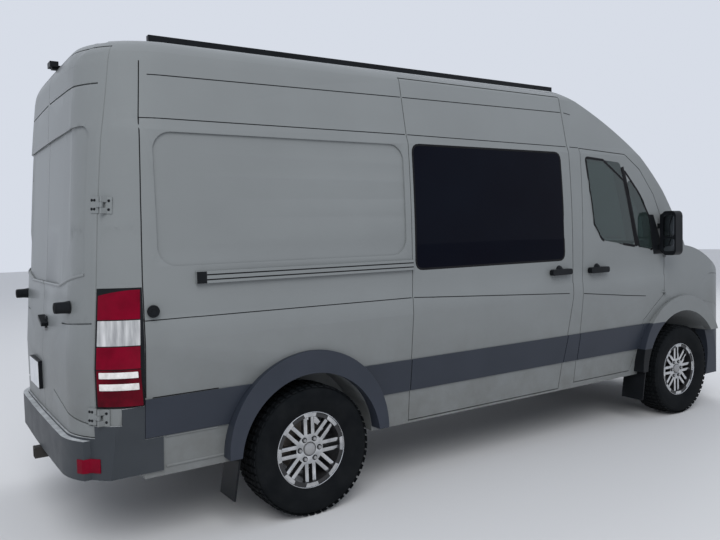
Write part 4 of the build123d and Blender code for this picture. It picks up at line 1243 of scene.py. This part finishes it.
def hinge_spot(sign, hinge, leaf, part, height):
    """Place and normal on the outer face of a hinge leaf, part of the way from one end to the other."""
    start, end = (Vector(corner) for corner in leaf)
    aside = Vector((0, sign, 0))
    spot = start.lerp(end, part) / 1000
    edge = end - start
    out = Vector((-abs(edge.y), abs(edge.x))).normalized()
    origin = Vector((at(hinge[0]), sign * HINGE_ACROSS, hinge[1] / 1000))
    place = origin + ACROSS * spot.x + aside * spot.y + LEAN * height / 1000
    normal = ACROSS * out.x + aside * out.y
    drawn_in = narrow_hinge(place)
    return drawn_in, (narrow_hinge(place + normal * 0.01) - drawn_in).normalized()


def leaf_bolts(name, sign, leaf, parts, body):
    """The bolts of one kind of leaf on one side of the van, as one piece."""
    bm = bmesh.new()
    for hinge in HINGES:
        for part in parts:
            for height in BOLT_HEIGHTS:
                lathe(bm, BOLT_HEAD, facing(*hinge_spot(sign, hinge, leaf, part, height)), count=6)
    add_piece(name, tidy(bm), BLACK_PLASTIC, body, bevel=0.0005)


for sign, side in SIDES:
    leaf_bolts(f"door_hinge_bolts_{side}", sign, DOOR_LEAF, DOOR_BOLTS, f"rear_door_{side}")
    leaf_bolts(f"body_hinge_bolts_{side}", sign, BODY_LEAF, BODY_BOLTS, "body")

# %% [markdown]
# The stop socket on each side is a black drum with rings round its hollow middle, and each buffer on a
# rear door ends in a rubber cap. The rear handle's lever turns on a round base with a bright lock
# under it.

# %% Sockets, buffer caps and rear handle
SOCKET_PLACE = (-905, 1003, 1278)
SOCKET_RINGS = (
    (0, 1), (12.5, 3), (15, 6), (19, 6.5), (21, 4.5), (24.5, 4.5), (27, 6.5), (30, 5), (32, 0), (32, -6),
)
BUFFER_CAP = ((0, 0), (12, 0.5), (15, 3), (21, 4), (26, 2.5), (28.5, -2), (29.3, -8))
HANDLE_BASE = ((0, 14), (20, 13), (27, 9), (30, 3), (31, -3))
LOCK = ((0, 16), (9, 15.5), (12, 13), (13, -3))
HANDLE_BASE_PLACE = (-112, 1186)
LOCK_PLACE = (-112, 1142)
for sign, side in SIDES:
    place = (at(SOCKET_PLACE[0]), sign * SOCKET_PLACE[1] / 1000, SOCKET_PLACE[2] / 1000)
    spot = facing(place, (0, sign, 0))
    turned_piece(f"stop_socket_{side}", SOCKET_RINGS, spot, BLACK_PLASTIC, "body", count=40)
    tip = facing((at(BUFFER_TIP_X), sign * BUFFER_PLACE[0] / 1000, BUFFER_PLACE[1] / 1000), (-1, 0, 0))
    turned_piece(f"buffer_cap_{side}", BUFFER_CAP, tip, SEAL_RUBBER_AND_SHADE, f"rear_door_{side}")

base_spot, tail_normal = tail_place(TAIL_SKIN, *HANDLE_BASE_PLACE)
lock_spot = tail_place(TAIL_SKIN, *LOCK_PLACE)[0]
base_matrix, lock_matrix = (facing(spot, tail_normal) for spot in (base_spot, lock_spot))
turned_piece(
    "rear_handle_base", HANDLE_BASE, base_matrix, BLACK_PLASTIC, "rear_door_right", count=36
)
turned_piece("rear_lock", LOCK, lock_matrix, SATIN_STEEL, "rear_door_right", count=28)
print("rear handle at", [round(v, 3) for v in base_spot])

# %% [markdown]
# The plate is a blank sheet on the left rear door. Its grid has narrow outer rows, so that the bevel
# has a face to end on.

# %% Blank plate
PLATE_PLACE = Vector((at(-1296), 0.205, 0.845))
PLATE_HALF = (0.15, 0.078)
PLATE_GRID = ((-1, -0.96, 0.96, 1), (-1, -0.92, 0.92, 1))
BACKWARD = Vector((-1, 0, 0))
plate_rows = [
    [(PLATE_PLACE + Vector((0, PLATE_HALF[0] * u, PLATE_HALF[1] * v)), BACKWARD) for u in PLATE_GRID[0]]
    for v in PLATE_GRID[1]
]
plate_piece(
    "blank_plate_sheet", plate_rows, BLANK_PLATE, "rear_door_left",
    lift=0.0025, depth=0.002, bevel=0.001,
)

# %% [markdown]
# A door handle on the side has a domed boss with the lock at the middle of its bar, and a shallow dish
# below it where the fingers go. The dish is wider than it is high, so its spin is stretched.

# %% Side handles
HANDLES = (
    # body, side, middle of the handle's bar
    ("front_door_right", -1, DOOR_HANDLE),
    ("front_door_left", 1, DOOR_HANDLE),
    ("body", -1, SLIDE_HANDLE),
)
BOSS_DROP = 20
BOSS = ((0, 24), (12, 23), (22, 19), (29, 11), (33, 4), (34, -3))
DISH_DROP = 62
DISH = ((0, -1.0), (30, -0.5), (40, 1.2), (44, 1.2), (47, -1.5))
DISH_STRETCH = Matrix.Diagonal((1.5, 0.8, 1, 1))
for body, sign, (distance, height) in HANDLES:
    spot = facing(*side_place(SIDE_SKIN, sign, distance, height - BOSS_DROP))
    turned_piece(f"handle_boss_{body}", BOSS, spot, BLACK_PLASTIC, body, count=40)
    spot = facing(*side_place(SIDE_SKIN, sign, distance, height - DISH_DROP)) @ DISH_STRETCH
    turned_piece(f"handle_dish_{body}", DISH, spot, GREY_PAINT, body, count=40)

# %% [markdown]
# Each mirror has two glasses on its rear face, a wide-angle one below the main one, an amber lamp on
# its front, and a black triangle on the door that its arms come from.

# %% Mirrors
MIRROR_MIDDLE = (3335, 1105, 1572)
MIRROR_BACK = 47.5
# The outlines are across and up from the mirror's middle: low, high, low, high
MIRROR_GLASSES = ((-48, 48, -28, 148), (-48, 48, -148, -42))
GLASS_CORNER = 22
AMBER_LAMP = (-30, 30, -9, 9)
AMBER_CORNER = 8
AMBER_OFFSET = (0.095, 0.018, 0.03)
# The foot and the top of the triangle on the door: its rear edge, its front edge and its height
MIRROR_BASE = ((3252, 3182), (3392, 3242), (1402, 1727))


def flat_plate(bm, place, normal, outline, lift, up=(0, 0, 1)):
    """A thin plate with a round outline in its own plane, crowned by a second smaller ring."""
    matrix = facing(place, normal, up)
    middle = Vector((sum(u for u, v in outline), sum(v for u, v in outline))) / len(outline)
    rings = []
    for scale, height in ((1.0, -0.003), (1.0, lift * 0.5), (0.96, lift)):
        ring = []
        for u, v in outline:
            spot = middle + (Vector((u, v)) - middle) * scale
            ring.append(bm.verts.new(matrix @ Vector((spot.x / 1000, spot.y / 1000, height))))
        rings.append(ring)
    close_rings(bm, rings)


for sign, side in SIDES:
    door = f"front_door_{side}"
    distance, across, height = MIRROR_MIDDLE
    back = Vector((at(distance - MIRROR_BACK), sign * across / 1000, height / 1000))
    bm = bmesh.new()
    for glass in MIRROR_GLASSES:
        flat_plate(bm, back, BACKWARD, rounded_outline(*glass, GLASS_CORNER), 0.002)
    add_piece(f"mirror_glass_{side}", tidy(bm), MIRROR_GLASS, door)
    bm = bmesh.new()
    front = back + Vector((AMBER_OFFSET[0], sign * AMBER_OFFSET[1], AMBER_OFFSET[2]))
    flat_plate(bm, front, -BACKWARD, rounded_outline(*AMBER_LAMP, AMBER_CORNER), 0.003)
    add_piece(f"mirror_lamp_{side}", tidy(bm), AMBER_LENS, door)
    rows = [
        [side_place(SIDE_SKIN, sign, distance, height) for distance in even_steps(rear_edge, front_edge, 4)]
        for rear_edge, front_edge, height in zip(*(even_steps(*ends, 5) for ends in MIRROR_BASE))
    ]
    name = f"mirror_base_{side}"
    plate_piece(name, rows, BLACK_PLASTIC, door, lift=0.006, depth=0.004, bevel=0.003)
print("mirror glass at", [round(v, 3) for v in back])

# %% [markdown]
# The blocks of a tread and the nuts of a wheel repeat round an axle. Geometry Nodes turn one of them
# into a ring: as many points as there are copies all sit at the middle, and each copy is turned by its
# share of a full circle. The tree has inputs for the object, the count and the finish.

# %% A ring of copies


def ring_group():
    """A node group that repeats an object round the Z axis and gives the copies a finish."""
    tree = bpy.data.node_groups.new("ring of copies", "GeometryNodeTree")
    tree.interface.new_socket("Geometry", in_out="OUTPUT", socket_type="NodeSocketGeometry")
    sockets = {}
    for label, kind in (("Source", "Object"), ("Count", "Int"), ("Finish", "Material")):
        socket = tree.interface.new_socket(label, in_out="INPUT", socket_type="NodeSocket" + kind)
        sockets[label] = socket.identifier
    names = {
        "given": "NodeGroupInput", "points": "GeometryNodePoints", "source": "GeometryNodeObjectInfo",
        "index": "GeometryNodeInputIndex", "step": "ShaderNodeMath", "angle": "ShaderNodeMath",
        "turn": "ShaderNodeCombineXYZ", "euler": "FunctionNodeEulerToRotation",
        "copies": "GeometryNodeInstanceOnPoints", "real": "GeometryNodeRealizeInstances",
        "paint": "GeometryNodeSetMaterial", "out": "NodeGroupOutput",
    }
    node = {key: tree.nodes.new(kind) for key, kind in names.items()}
    node["step"].operation = "DIVIDE"
    node["step"].inputs[0].default_value = math.tau
    node["angle"].operation = "MULTIPLY"
    links = (
        ("given", "Count", "points", "Count"), ("given", "Source", "source", "Object"),
        ("given", "Count", "step", 1), ("step", 0, "angle", 0), ("index", 0, "angle", 1),
        ("angle", 0, "turn", "Z"), ("turn", 0, "euler", 0), ("points", 0, "copies", "Points"),
        ("source", "Geometry", "copies", "Instance"), ("euler", 0, "copies", "Rotation"),
        ("copies", 0, "real", 0), ("real", 0, "paint", "Geometry"), ("given", "Finish", "paint", "Material"),
        ("paint", 0, "out", 0),
    )
    for near, exit_name, far, entry_name in links:
        tree.links.new(node[near].outputs[exit_name], node[far].inputs[entry_name])
    return tree, sockets


RING_TREE, RING_SOCKETS = ring_group()


def ring_mesh(name, bm, count, finish):
    """Plain mesh of count copies of a bmesh round the Z axis."""
    source_mesh = bpy.data.meshes.new(name + " source")
    tidy(bm).to_mesh(source_mesh)
    bm.free()
    source = bpy.data.objects.new(name + " source", source_mesh)
    holder = bpy.data.objects.new(name + " ring", bpy.data.meshes.new(name + " holder"))
    for item in (source, holder):
        bpy.context.scene.collection.objects.link(item)
    mod = holder.modifiers.new("ring", "NODES")
    mod.node_group = RING_TREE
    mod[RING_SOCKETS["Source"]] = source
    mod[RING_SOCKETS["Count"]] = count
    mod[RING_SOCKETS["Finish"]] = finish
    bpy.context.view_layer.update()
    graph = bpy.context.evaluated_depsgraph_get()
    mesh = bpy.data.meshes.new_from_object(holder.evaluated_get(graph))
    for item in (source, holder):
        bpy.data.objects.remove(item)
    print(f"{name}: {count} copies, {len(mesh.polygons)} faces")
    return mesh


# %% [markdown]
# An all-season tread is seven rows of slanted blocks, those at the shoulders lower than the middle
# ones. One pitch of it is modelled, and the ring repeats the pitch round the tyre.

# %% Tread
TREAD_PITCHES = 54
BLOCK_TAPER = 0.86
BLOCK_EDGE = 1.2
SHOULDER_BLOCK = (371.0, 378.0)
TREAD_BLOCKS = (
    # the corners of a block, across the tyre and around it, and its foot and top radius
    (((-116, -17), (-84, -19), (-84, 12), (-116, 14)), SHOULDER_BLOCK),
    (((-78, -14), (-48, -19), (-48, 13), (-78, 17)), (374.5, 383.0)),
    (((-42, -19), (-16, -13), (-16, 18), (-42, 12)), (374.5, 383.2)),
    (((-11, -14), (11, -19), (11, 12), (-11, 17)), (374.5, 383.4)),
    (((16, -18), (42, -12), (42, 19), (16, 13)), (374.5, 383.2)),
    (((48, -13), (78, -17), (78, 14), (48, 19)), (374.5, 383.0)),
    (((84, -12), (116, -14), (116, 17), (84, 19)), SHOULDER_BLOCK),
)


def block(bm, corners, foot, top):
    """A tapered block with a soft top edge: four corners, raised from one radius to another."""
    middle = Vector((sum(u for u, v in corners), sum(v for u, v in corners))) / 4
    rings = []
    for radius, scale in ((foot, 1.0), (top - BLOCK_EDGE, 0.5 + BLOCK_TAPER / 2), (top, BLOCK_TAPER)):
        ring = []
        for u, v in corners:
            spot = middle + (Vector((u, v)) - middle) * scale
            ring.append(bm.verts.new(Vector((radius, spot.y, spot.x)) / 1000))
        rings.append(ring)
    close_rings(bm, rings)


tread_pitch = bmesh.new()
for corners, (foot, top) in TREAD_BLOCKS:
    block(tread_pitch, corners, foot, top)
TREAD_MESH = ring_mesh("tread", tread_pitch, TREAD_PITCHES, TYRE_RUBBER)

# %% [markdown]
# The rim has a bright flare where each pair of spokes meets its edge. The nuts stand in dark wells
# round the hub. All three are rings of copies too.

# %% Flares and nuts
HUB_FACE = 70
BOLT_CIRCLE = 65
NUT_COUNT = 6
NUT = ((0, 11), (4, 11.5), (8.5, 11), (10.5, 9), (10.8, -12))
NUT_WELL = ((10.9, 0.5), (14.8, 0.8), (16.0, 1.4), (16.8, -2))
SPOKE_PAIRS = 8
# The corners of a flare, outward from the axle and aside, and its height over the wheel's middle
FLARE = ((193, -36), (214, -43), (218, 0), (214, 43), (193, 36), (195, 0))
FLARE_HEIGHT = 0.0895

flare_source, nut_source, well_source = bmesh.new(), bmesh.new(), bmesh.new()
flat_plate(flare_source, (0, 0, FLARE_HEIGHT), (0, 0, 1), FLARE, 0.002, up=(0, 1, 0))
nut_place = Matrix.Translation((BOLT_CIRCLE / 1000, 0, HUB_FACE / 1000))
lathe(nut_source, NUT, nut_place, count=6)
lathe(well_source, NUT_WELL, nut_place, count=24, closed=True)
WHEEL_RINGS = (
    # name, mesh, slot
    ("tread", TREAD_MESH, "tyre_rubber"),
    ("rim_flares", ring_mesh("rim flares", flare_source, SPOKE_PAIRS, POLISHED_ALLOY), "wheel_alloy"),
    ("wheel_nuts", ring_mesh("nuts", nut_source, NUT_COUNT, SATIN_STEEL), "zinc_steel"),
    ("nut_wells", ring_mesh("nut wells", well_source, NUT_COUNT, BLACK_PLASTIC), "black_trim"),
)

# %% [markdown]
# The wheel's alloy is machined on its outer face and black in its windows, so the finish of each face
# follows the way that the face points. The ring outside the spokes stays black behind a bright lip,
# and the brake inside is bare iron. The tyre's carcass is spun from its section.

# %% Wheels
WHEELS = (
    # end, distance ahead of the rear axle, middle of the wheel from the van's middle
    ("front", WHEELBASE, 855),
    ("rear", 0, 858),
)
TYRE_HALF = (
    # radius and distance from the tyre's middle plane, from the bead to the middle of the tread
    (206, 78), (214, 88), (225, 97), (232, 98), (238, 101), (262, 112), (285, 119), (305, 121.5),
    (325, 121.5), (338, 120), (342, 120.5), (346, 119.5), (358, 115), (366, 110), (371, 100), (374, 80),
    (375.5, 40), (376, 0),
)
TYRE_SECTION = (*TYRE_HALF, *((radius, -across) for radius, across in reversed(TYRE_HALF[:-1])))
HUB_CAP = ((0, 13), (18, 12.5), (30, 10), (36, 6), (39, 1), (40, -8))
RIM_LIP = ((217, 91), (218, 95), (221, 98), (225, 96), (227, 90), (221, 88), (217, 88))
MACHINED_TURN = 0.7
MACHINED_DEPTHS = (0.03, 0.085)
BRAKE_RADIUS = 0.16


def wheel_matrix(sign, distance, middle):
    """A matrix at a wheel's middle whose Z axis points outward along the axle."""
    x_axis, z_axis = Vector((1, 0, 0)), Vector((0, sign, 0))
    turn = Matrix((x_axis, z_axis.cross(x_axis), z_axis)).transposed().to_4x4()
    return Matrix.Translation((at(distance), sign * middle / 1000, TYRE_RADIUS)) @ turn


def place_mesh(name, mesh, matrix, body):
    """A finished object from a copy of a mesh, moved to its place."""
    piece = bpy.data.objects.new(name, mesh.copy())
    piece.data.transform(matrix)
    bpy.context.scene.collection.objects.link(piece)
    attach(piece, body)


def finish_rim(rim, matrix, sign):
    """Bright alloy on the machined faces and bare iron on the brake; the rest stays black."""
    rim.materials.append(POLISHED_ALLOY)
    rim.materials.append(BRAKE_IRON)
    middle = matrix.translation
    for polygon in rim.polygons:
        out = (polygon.center.y - middle.y) * sign
        reach = math.hypot(polygon.center.x - middle.x, polygon.center.z - middle.z)
        if polygon.normal.y * sign > MACHINED_TURN and MACHINED_DEPTHS[0] < out < MACHINED_DEPTHS[1]:
            polygon.material_index = 1
        elif out < 0.0 and reach < BRAKE_RADIUS:
            polygon.material_index = 2


for end, distance, middle in WHEELS:
    for sign, side in SIDES:
        wheel, place = f"wheel_{end}_{side}", f"{end}_{side}"
        matrix = wheel_matrix(sign, distance, middle)
        hub_matrix = matrix @ Matrix.Translation((0, 0, HUB_FACE / 1000))
        finish_rim(welded_copy(wheel, BLACK_ALLOY, bevel=0.002, ending="_rim").data, matrix, sign)
        bm = bmesh.new()
        lathe(bm, TYRE_SECTION, matrix, count=96, closed=True)
        tyre = add_piece(f"tyre_{place}_carcass", tidy(bm), TYRE_RUBBER, wheel, sharp=50.0)
        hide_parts(f"tyre_{place}")
        for name, mesh, slot in WHEEL_RINGS:
            place_mesh(f"{name}_{place}", mesh, matrix, wheel)
        turned_piece(f"hub_cap_{place}", HUB_CAP, hub_matrix, SATIN_STEEL, wheel, count=40)
        turned_piece(
            f"rim_lip_{place}", RIM_LIP, matrix, POLISHED_ALLOY, wheel, count=72, closed=True
        )
        print(wheel, "stands at", [round(v, 3) for v in matrix.translation])

# %% [markdown]
# The nose isn't in the picture, so its dressing is plain: slats in the grille, one round lamp in each
# headlamp glass, and a pair of wipers at the foot of the windscreen.

# %% Nose
GRILLE_SLATS = (
    # height and half width of a slat
    (790, 540),
    (838, 555),
    (886, 568),
    (934, 582),
)
LAMP_PLACE = (735, 965)
LAMP_RING = ((44, 3.5), (50, 5), (56, 3.5), (57, -3), (43, -3))
LAMP_BOWL = ((0, 1.5), (14, 2.4), (30, 2.0), (43, 0.8), (44, -3))
WIPERS = (((-660, 1522), (-420, 1528), (-60, 1540)), ((40, 1540), (300, 1534), (640, 1524)))

slats = [nose_path(((-half, height), (half, height))) for height, half in GRILLE_SLATS]
strip_piece("grille_slats", slats, DARK_PLASTIC, "body", width=0.022, height=0.008)
for sign, side in SIDES:
    spot = facing(*nose_place(LAMP_SKIN, sign * LAMP_PLACE[0], LAMP_PLACE[1]))
    turned_piece(
        f"headlamp_rings_{side}", LAMP_RING, spot, SATIN_STEEL, "body", count=40, closed=True
    )
    turned_piece(f"headlamp_bowls_{side}", LAMP_BOWL, spot, POLISHED_ALLOY, "body", count=40)
blades = [nose_path(line, 30.0) for line in WIPERS]
strip_piece("wiper_blades", blades, SEAL_RUBBER_AND_SHADE, "body", width=0.016, height=0.014)
print("middle of the lowest slat", [round(v, 3) for v in slats[0][len(slats[0]) // 2][0]])

# %% [markdown]
# The seats are padded cushions. Each cushion starts as a block with round edges and is blown up as
# cloth under a little pressure, then two copies of it are placed, one for each seat.

# %% Seats
CUSHIONS = (
    # name, size in millimetres, middle: distance ahead of the rear axle, height
    ("seat_base", (520, 500, 140), (2730, 1080)),
    ("seat_back", (130, 490, 640), (2480, 1330)),
    ("head_rest", (90, 260, 200), (2470, 1750)),
)
SEAT_ACROSS = 0.45
ROOM_TO_BLOW = 24
PILLOW_FRAMES = 16
PILLOW_PRESSURE = 4.0
PILLOW_VOXEL = 0.016


def cushion_mesh(name, size):
    """A padded block about the origin, its sides blown out a little as cloth."""
    bm = bmesh.new()
    bmesh.ops.create_cube(bm, size=1.0)
    bmesh.ops.scale(bm, vec=[(s - ROOM_TO_BLOW) / 1000 for s in size], verts=bm.verts)
    bmesh.ops.bevel(bm, geom=bm.edges[:], offset=0.035, segments=4, affect="EDGES", profile=0.5)
    mesh = bpy.data.meshes.new(name)
    bm.to_mesh(mesh)
    bm.free()
    pad = bpy.data.objects.new(name, mesh)
    bpy.context.scene.collection.objects.link(pad)
    remesh = pad.modifiers.new("even mesh", "REMESH")
    remesh.mode = "VOXEL"
    remesh.voxel_size = PILLOW_VOXEL
    cloth = pad.modifiers.new("padding", "CLOTH")
    cloth.settings.use_pressure = True
    cloth.settings.uniform_pressure_force = PILLOW_PRESSURE
    cloth.settings.effector_weights.gravity = 0.0
    cloth.point_cache.frame_start = 1
    cloth.point_cache.frame_end = PILLOW_FRAMES
    scene = bpy.context.scene
    last = PILLOW_FRAMES
    for frame_number in range(1, last + 1):
        scene.frame_set(frame_number)
    graph = bpy.context.evaluated_depsgraph_get()
    blown = bpy.data.meshes.new_from_object(pad.evaluated_get(graph))
    bpy.data.objects.remove(pad)
    scene.frame_set(1)
    limit = [s / 2000 - 0.001 for s in size]
    for vertex in blown.vertices:
        for axis in range(3):
            vertex.co[axis] = max(-limit[axis], min(limit[axis], vertex.co[axis]))
    return blown


pads = bmesh.new()
for name, size, (distance, height) in CUSHIONS:
    mesh = cushion_mesh(name, size)
    for sign, side in SIDES:
        start = len(pads.verts)
        pads.from_mesh(mesh)
        pads.verts.ensure_lookup_table()
        place = (at(distance), sign * SEAT_ACROSS, height / 1000)
        bmesh.ops.translate(pads, vec=place, verts=pads.verts[start:])
print("points of the seat pads:", len(pads.verts))
seats = add_piece("cab_seat_pads", pads, SEAT_FABRIC, "body", sharp=60.0)
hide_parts("cab_seats")

# %% [markdown]
# Each seat stands on a black plinth, which is a box that narrows towards the floor.

# %% Seat plinths
PLINTH_SIZE = (0.42, 0.42, 0.33)
PLINTH_PLACE = (2720, 0.845)
PLINTH_TAPER = 0.06
plinths = bmesh.new()
for sign, side in SIDES:
    plinth = bmesh.ops.create_cube(plinths, size=1.0)["verts"]
    bmesh.ops.scale(plinths, vec=PLINTH_SIZE, verts=plinth)
    for vertex in plinth:
        inward = PLINTH_TAPER if vertex.co.z < 0 else 0.0
        vertex.co.x -= math.copysign(inward, vertex.co.x)
    place = (at(PLINTH_PLACE[0]), sign * SEAT_ACROSS, PLINTH_PLACE[1])
    bmesh.ops.translate(plinths, vec=place, verts=plinth)
add_piece("seat_plinths", plinths, BLACK_PLASTIC, "body", bevel=0.012)

# %% [markdown]
# The floor is a plain pale sheet, with soft light from the sky above and one broad lamp on the side
# that the picture is taken from. A second lamp on the far side keeps the nose from falling dark. The
# lamps don't show in glossy paint and glass, where they would be two white discs.

# %% Floor and light
floor_finish = bpy.data.materials.new("pale_floor")
floor_finish.use_nodes = True
set_shader(floor_finish.node_tree.nodes["Principled BSDF"], Base_Color=(0.62, 0.62, 0.62), Roughness=0.8)
bpy.ops.mesh.primitive_plane_add(size=80.0, location=(0, 0, 0))
floor = bpy.context.object
floor.name = "floor"
floor.data.materials.append(floor_finish)

world = bpy.data.worlds.new("sky")
bpy.context.scene.world = world
world.use_nodes = True
world.node_tree.nodes["Background"].inputs["Color"].default_value = (0.85, 0.90, 1.0, 1.0)
world.node_tree.nodes["Background"].inputs["Strength"].default_value = 0.8

LAMP_TARGET = Vector((0, 0, 1.0))
LAMPS = (
    # name, place, power
    ("broad lamp", Vector((-6.0, -9.0, 9.0)), 900.0),
    ("far lamp", Vector((8.0, 6.0, 9.0)), 500.0),
)
for name, place, power in LAMPS:
    data = bpy.data.lights.new(name, "AREA")
    data.shape = "DISK"
    data.size = 8.0
    data.energy = power
    lamp = bpy.data.objects.new(name, data)
    bpy.context.scene.collection.objects.link(lamp)
    lamp.location = place
    lamp.rotation_euler = (LAMP_TARGET - place).to_track_quat("-Z", "Y").to_euler()
    lamp.visible_glossy = False
print("lamps:", len(LAMPS))

# %% [markdown]
# The camera stands where the photographer stood, behind the van on its right side. Its place, its
# direction and its focal length were worked out from the wheels and the ground line. The focal length
# is given as a share of the picture's width.

# %% Camera
CAMERA_PLACE = (REAR_AXLE_X - 1.962, -4.515, 1.639)
CAMERA_YAW = math.radians(56.76)
CAMERA_PITCH = math.radians(-2.96)
CAMERA_ROLL = math.radians(-1.63)
CAMERA_FOCAL = 703.2 / 720
SENSOR_WIDTH = 36.0

camera_data = bpy.data.cameras.new("camera")
camera_data.sensor_width = SENSOR_WIDTH
camera_data.lens = SENSOR_WIDTH * CAMERA_FOCAL
camera = bpy.data.objects.new("camera", camera_data)
bpy.context.scene.collection.objects.link(camera)
ahead = Vector((
    math.cos(CAMERA_PITCH) * math.cos(CAMERA_YAW),
    math.cos(CAMERA_PITCH) * math.sin(CAMERA_YAW),
    math.sin(CAMERA_PITCH),
))
level_right = ahead.cross(Vector((0, 0, 1))).normalized()
level_up = level_right.cross(ahead)
right = level_right * math.cos(CAMERA_ROLL) + level_up * math.sin(CAMERA_ROLL)
up = level_up * math.cos(CAMERA_ROLL) - level_right * math.sin(CAMERA_ROLL)
turn = Matrix((right, up, -ahead)).transposed().to_4x4()
camera.matrix_world = Matrix.Translation(CAMERA_PLACE) @ turn
bpy.context.scene.camera = camera
bpy.context.scene.view_settings.view_transform = "Standard"
print("camera looks along", [round(v, 3) for v in ahead])
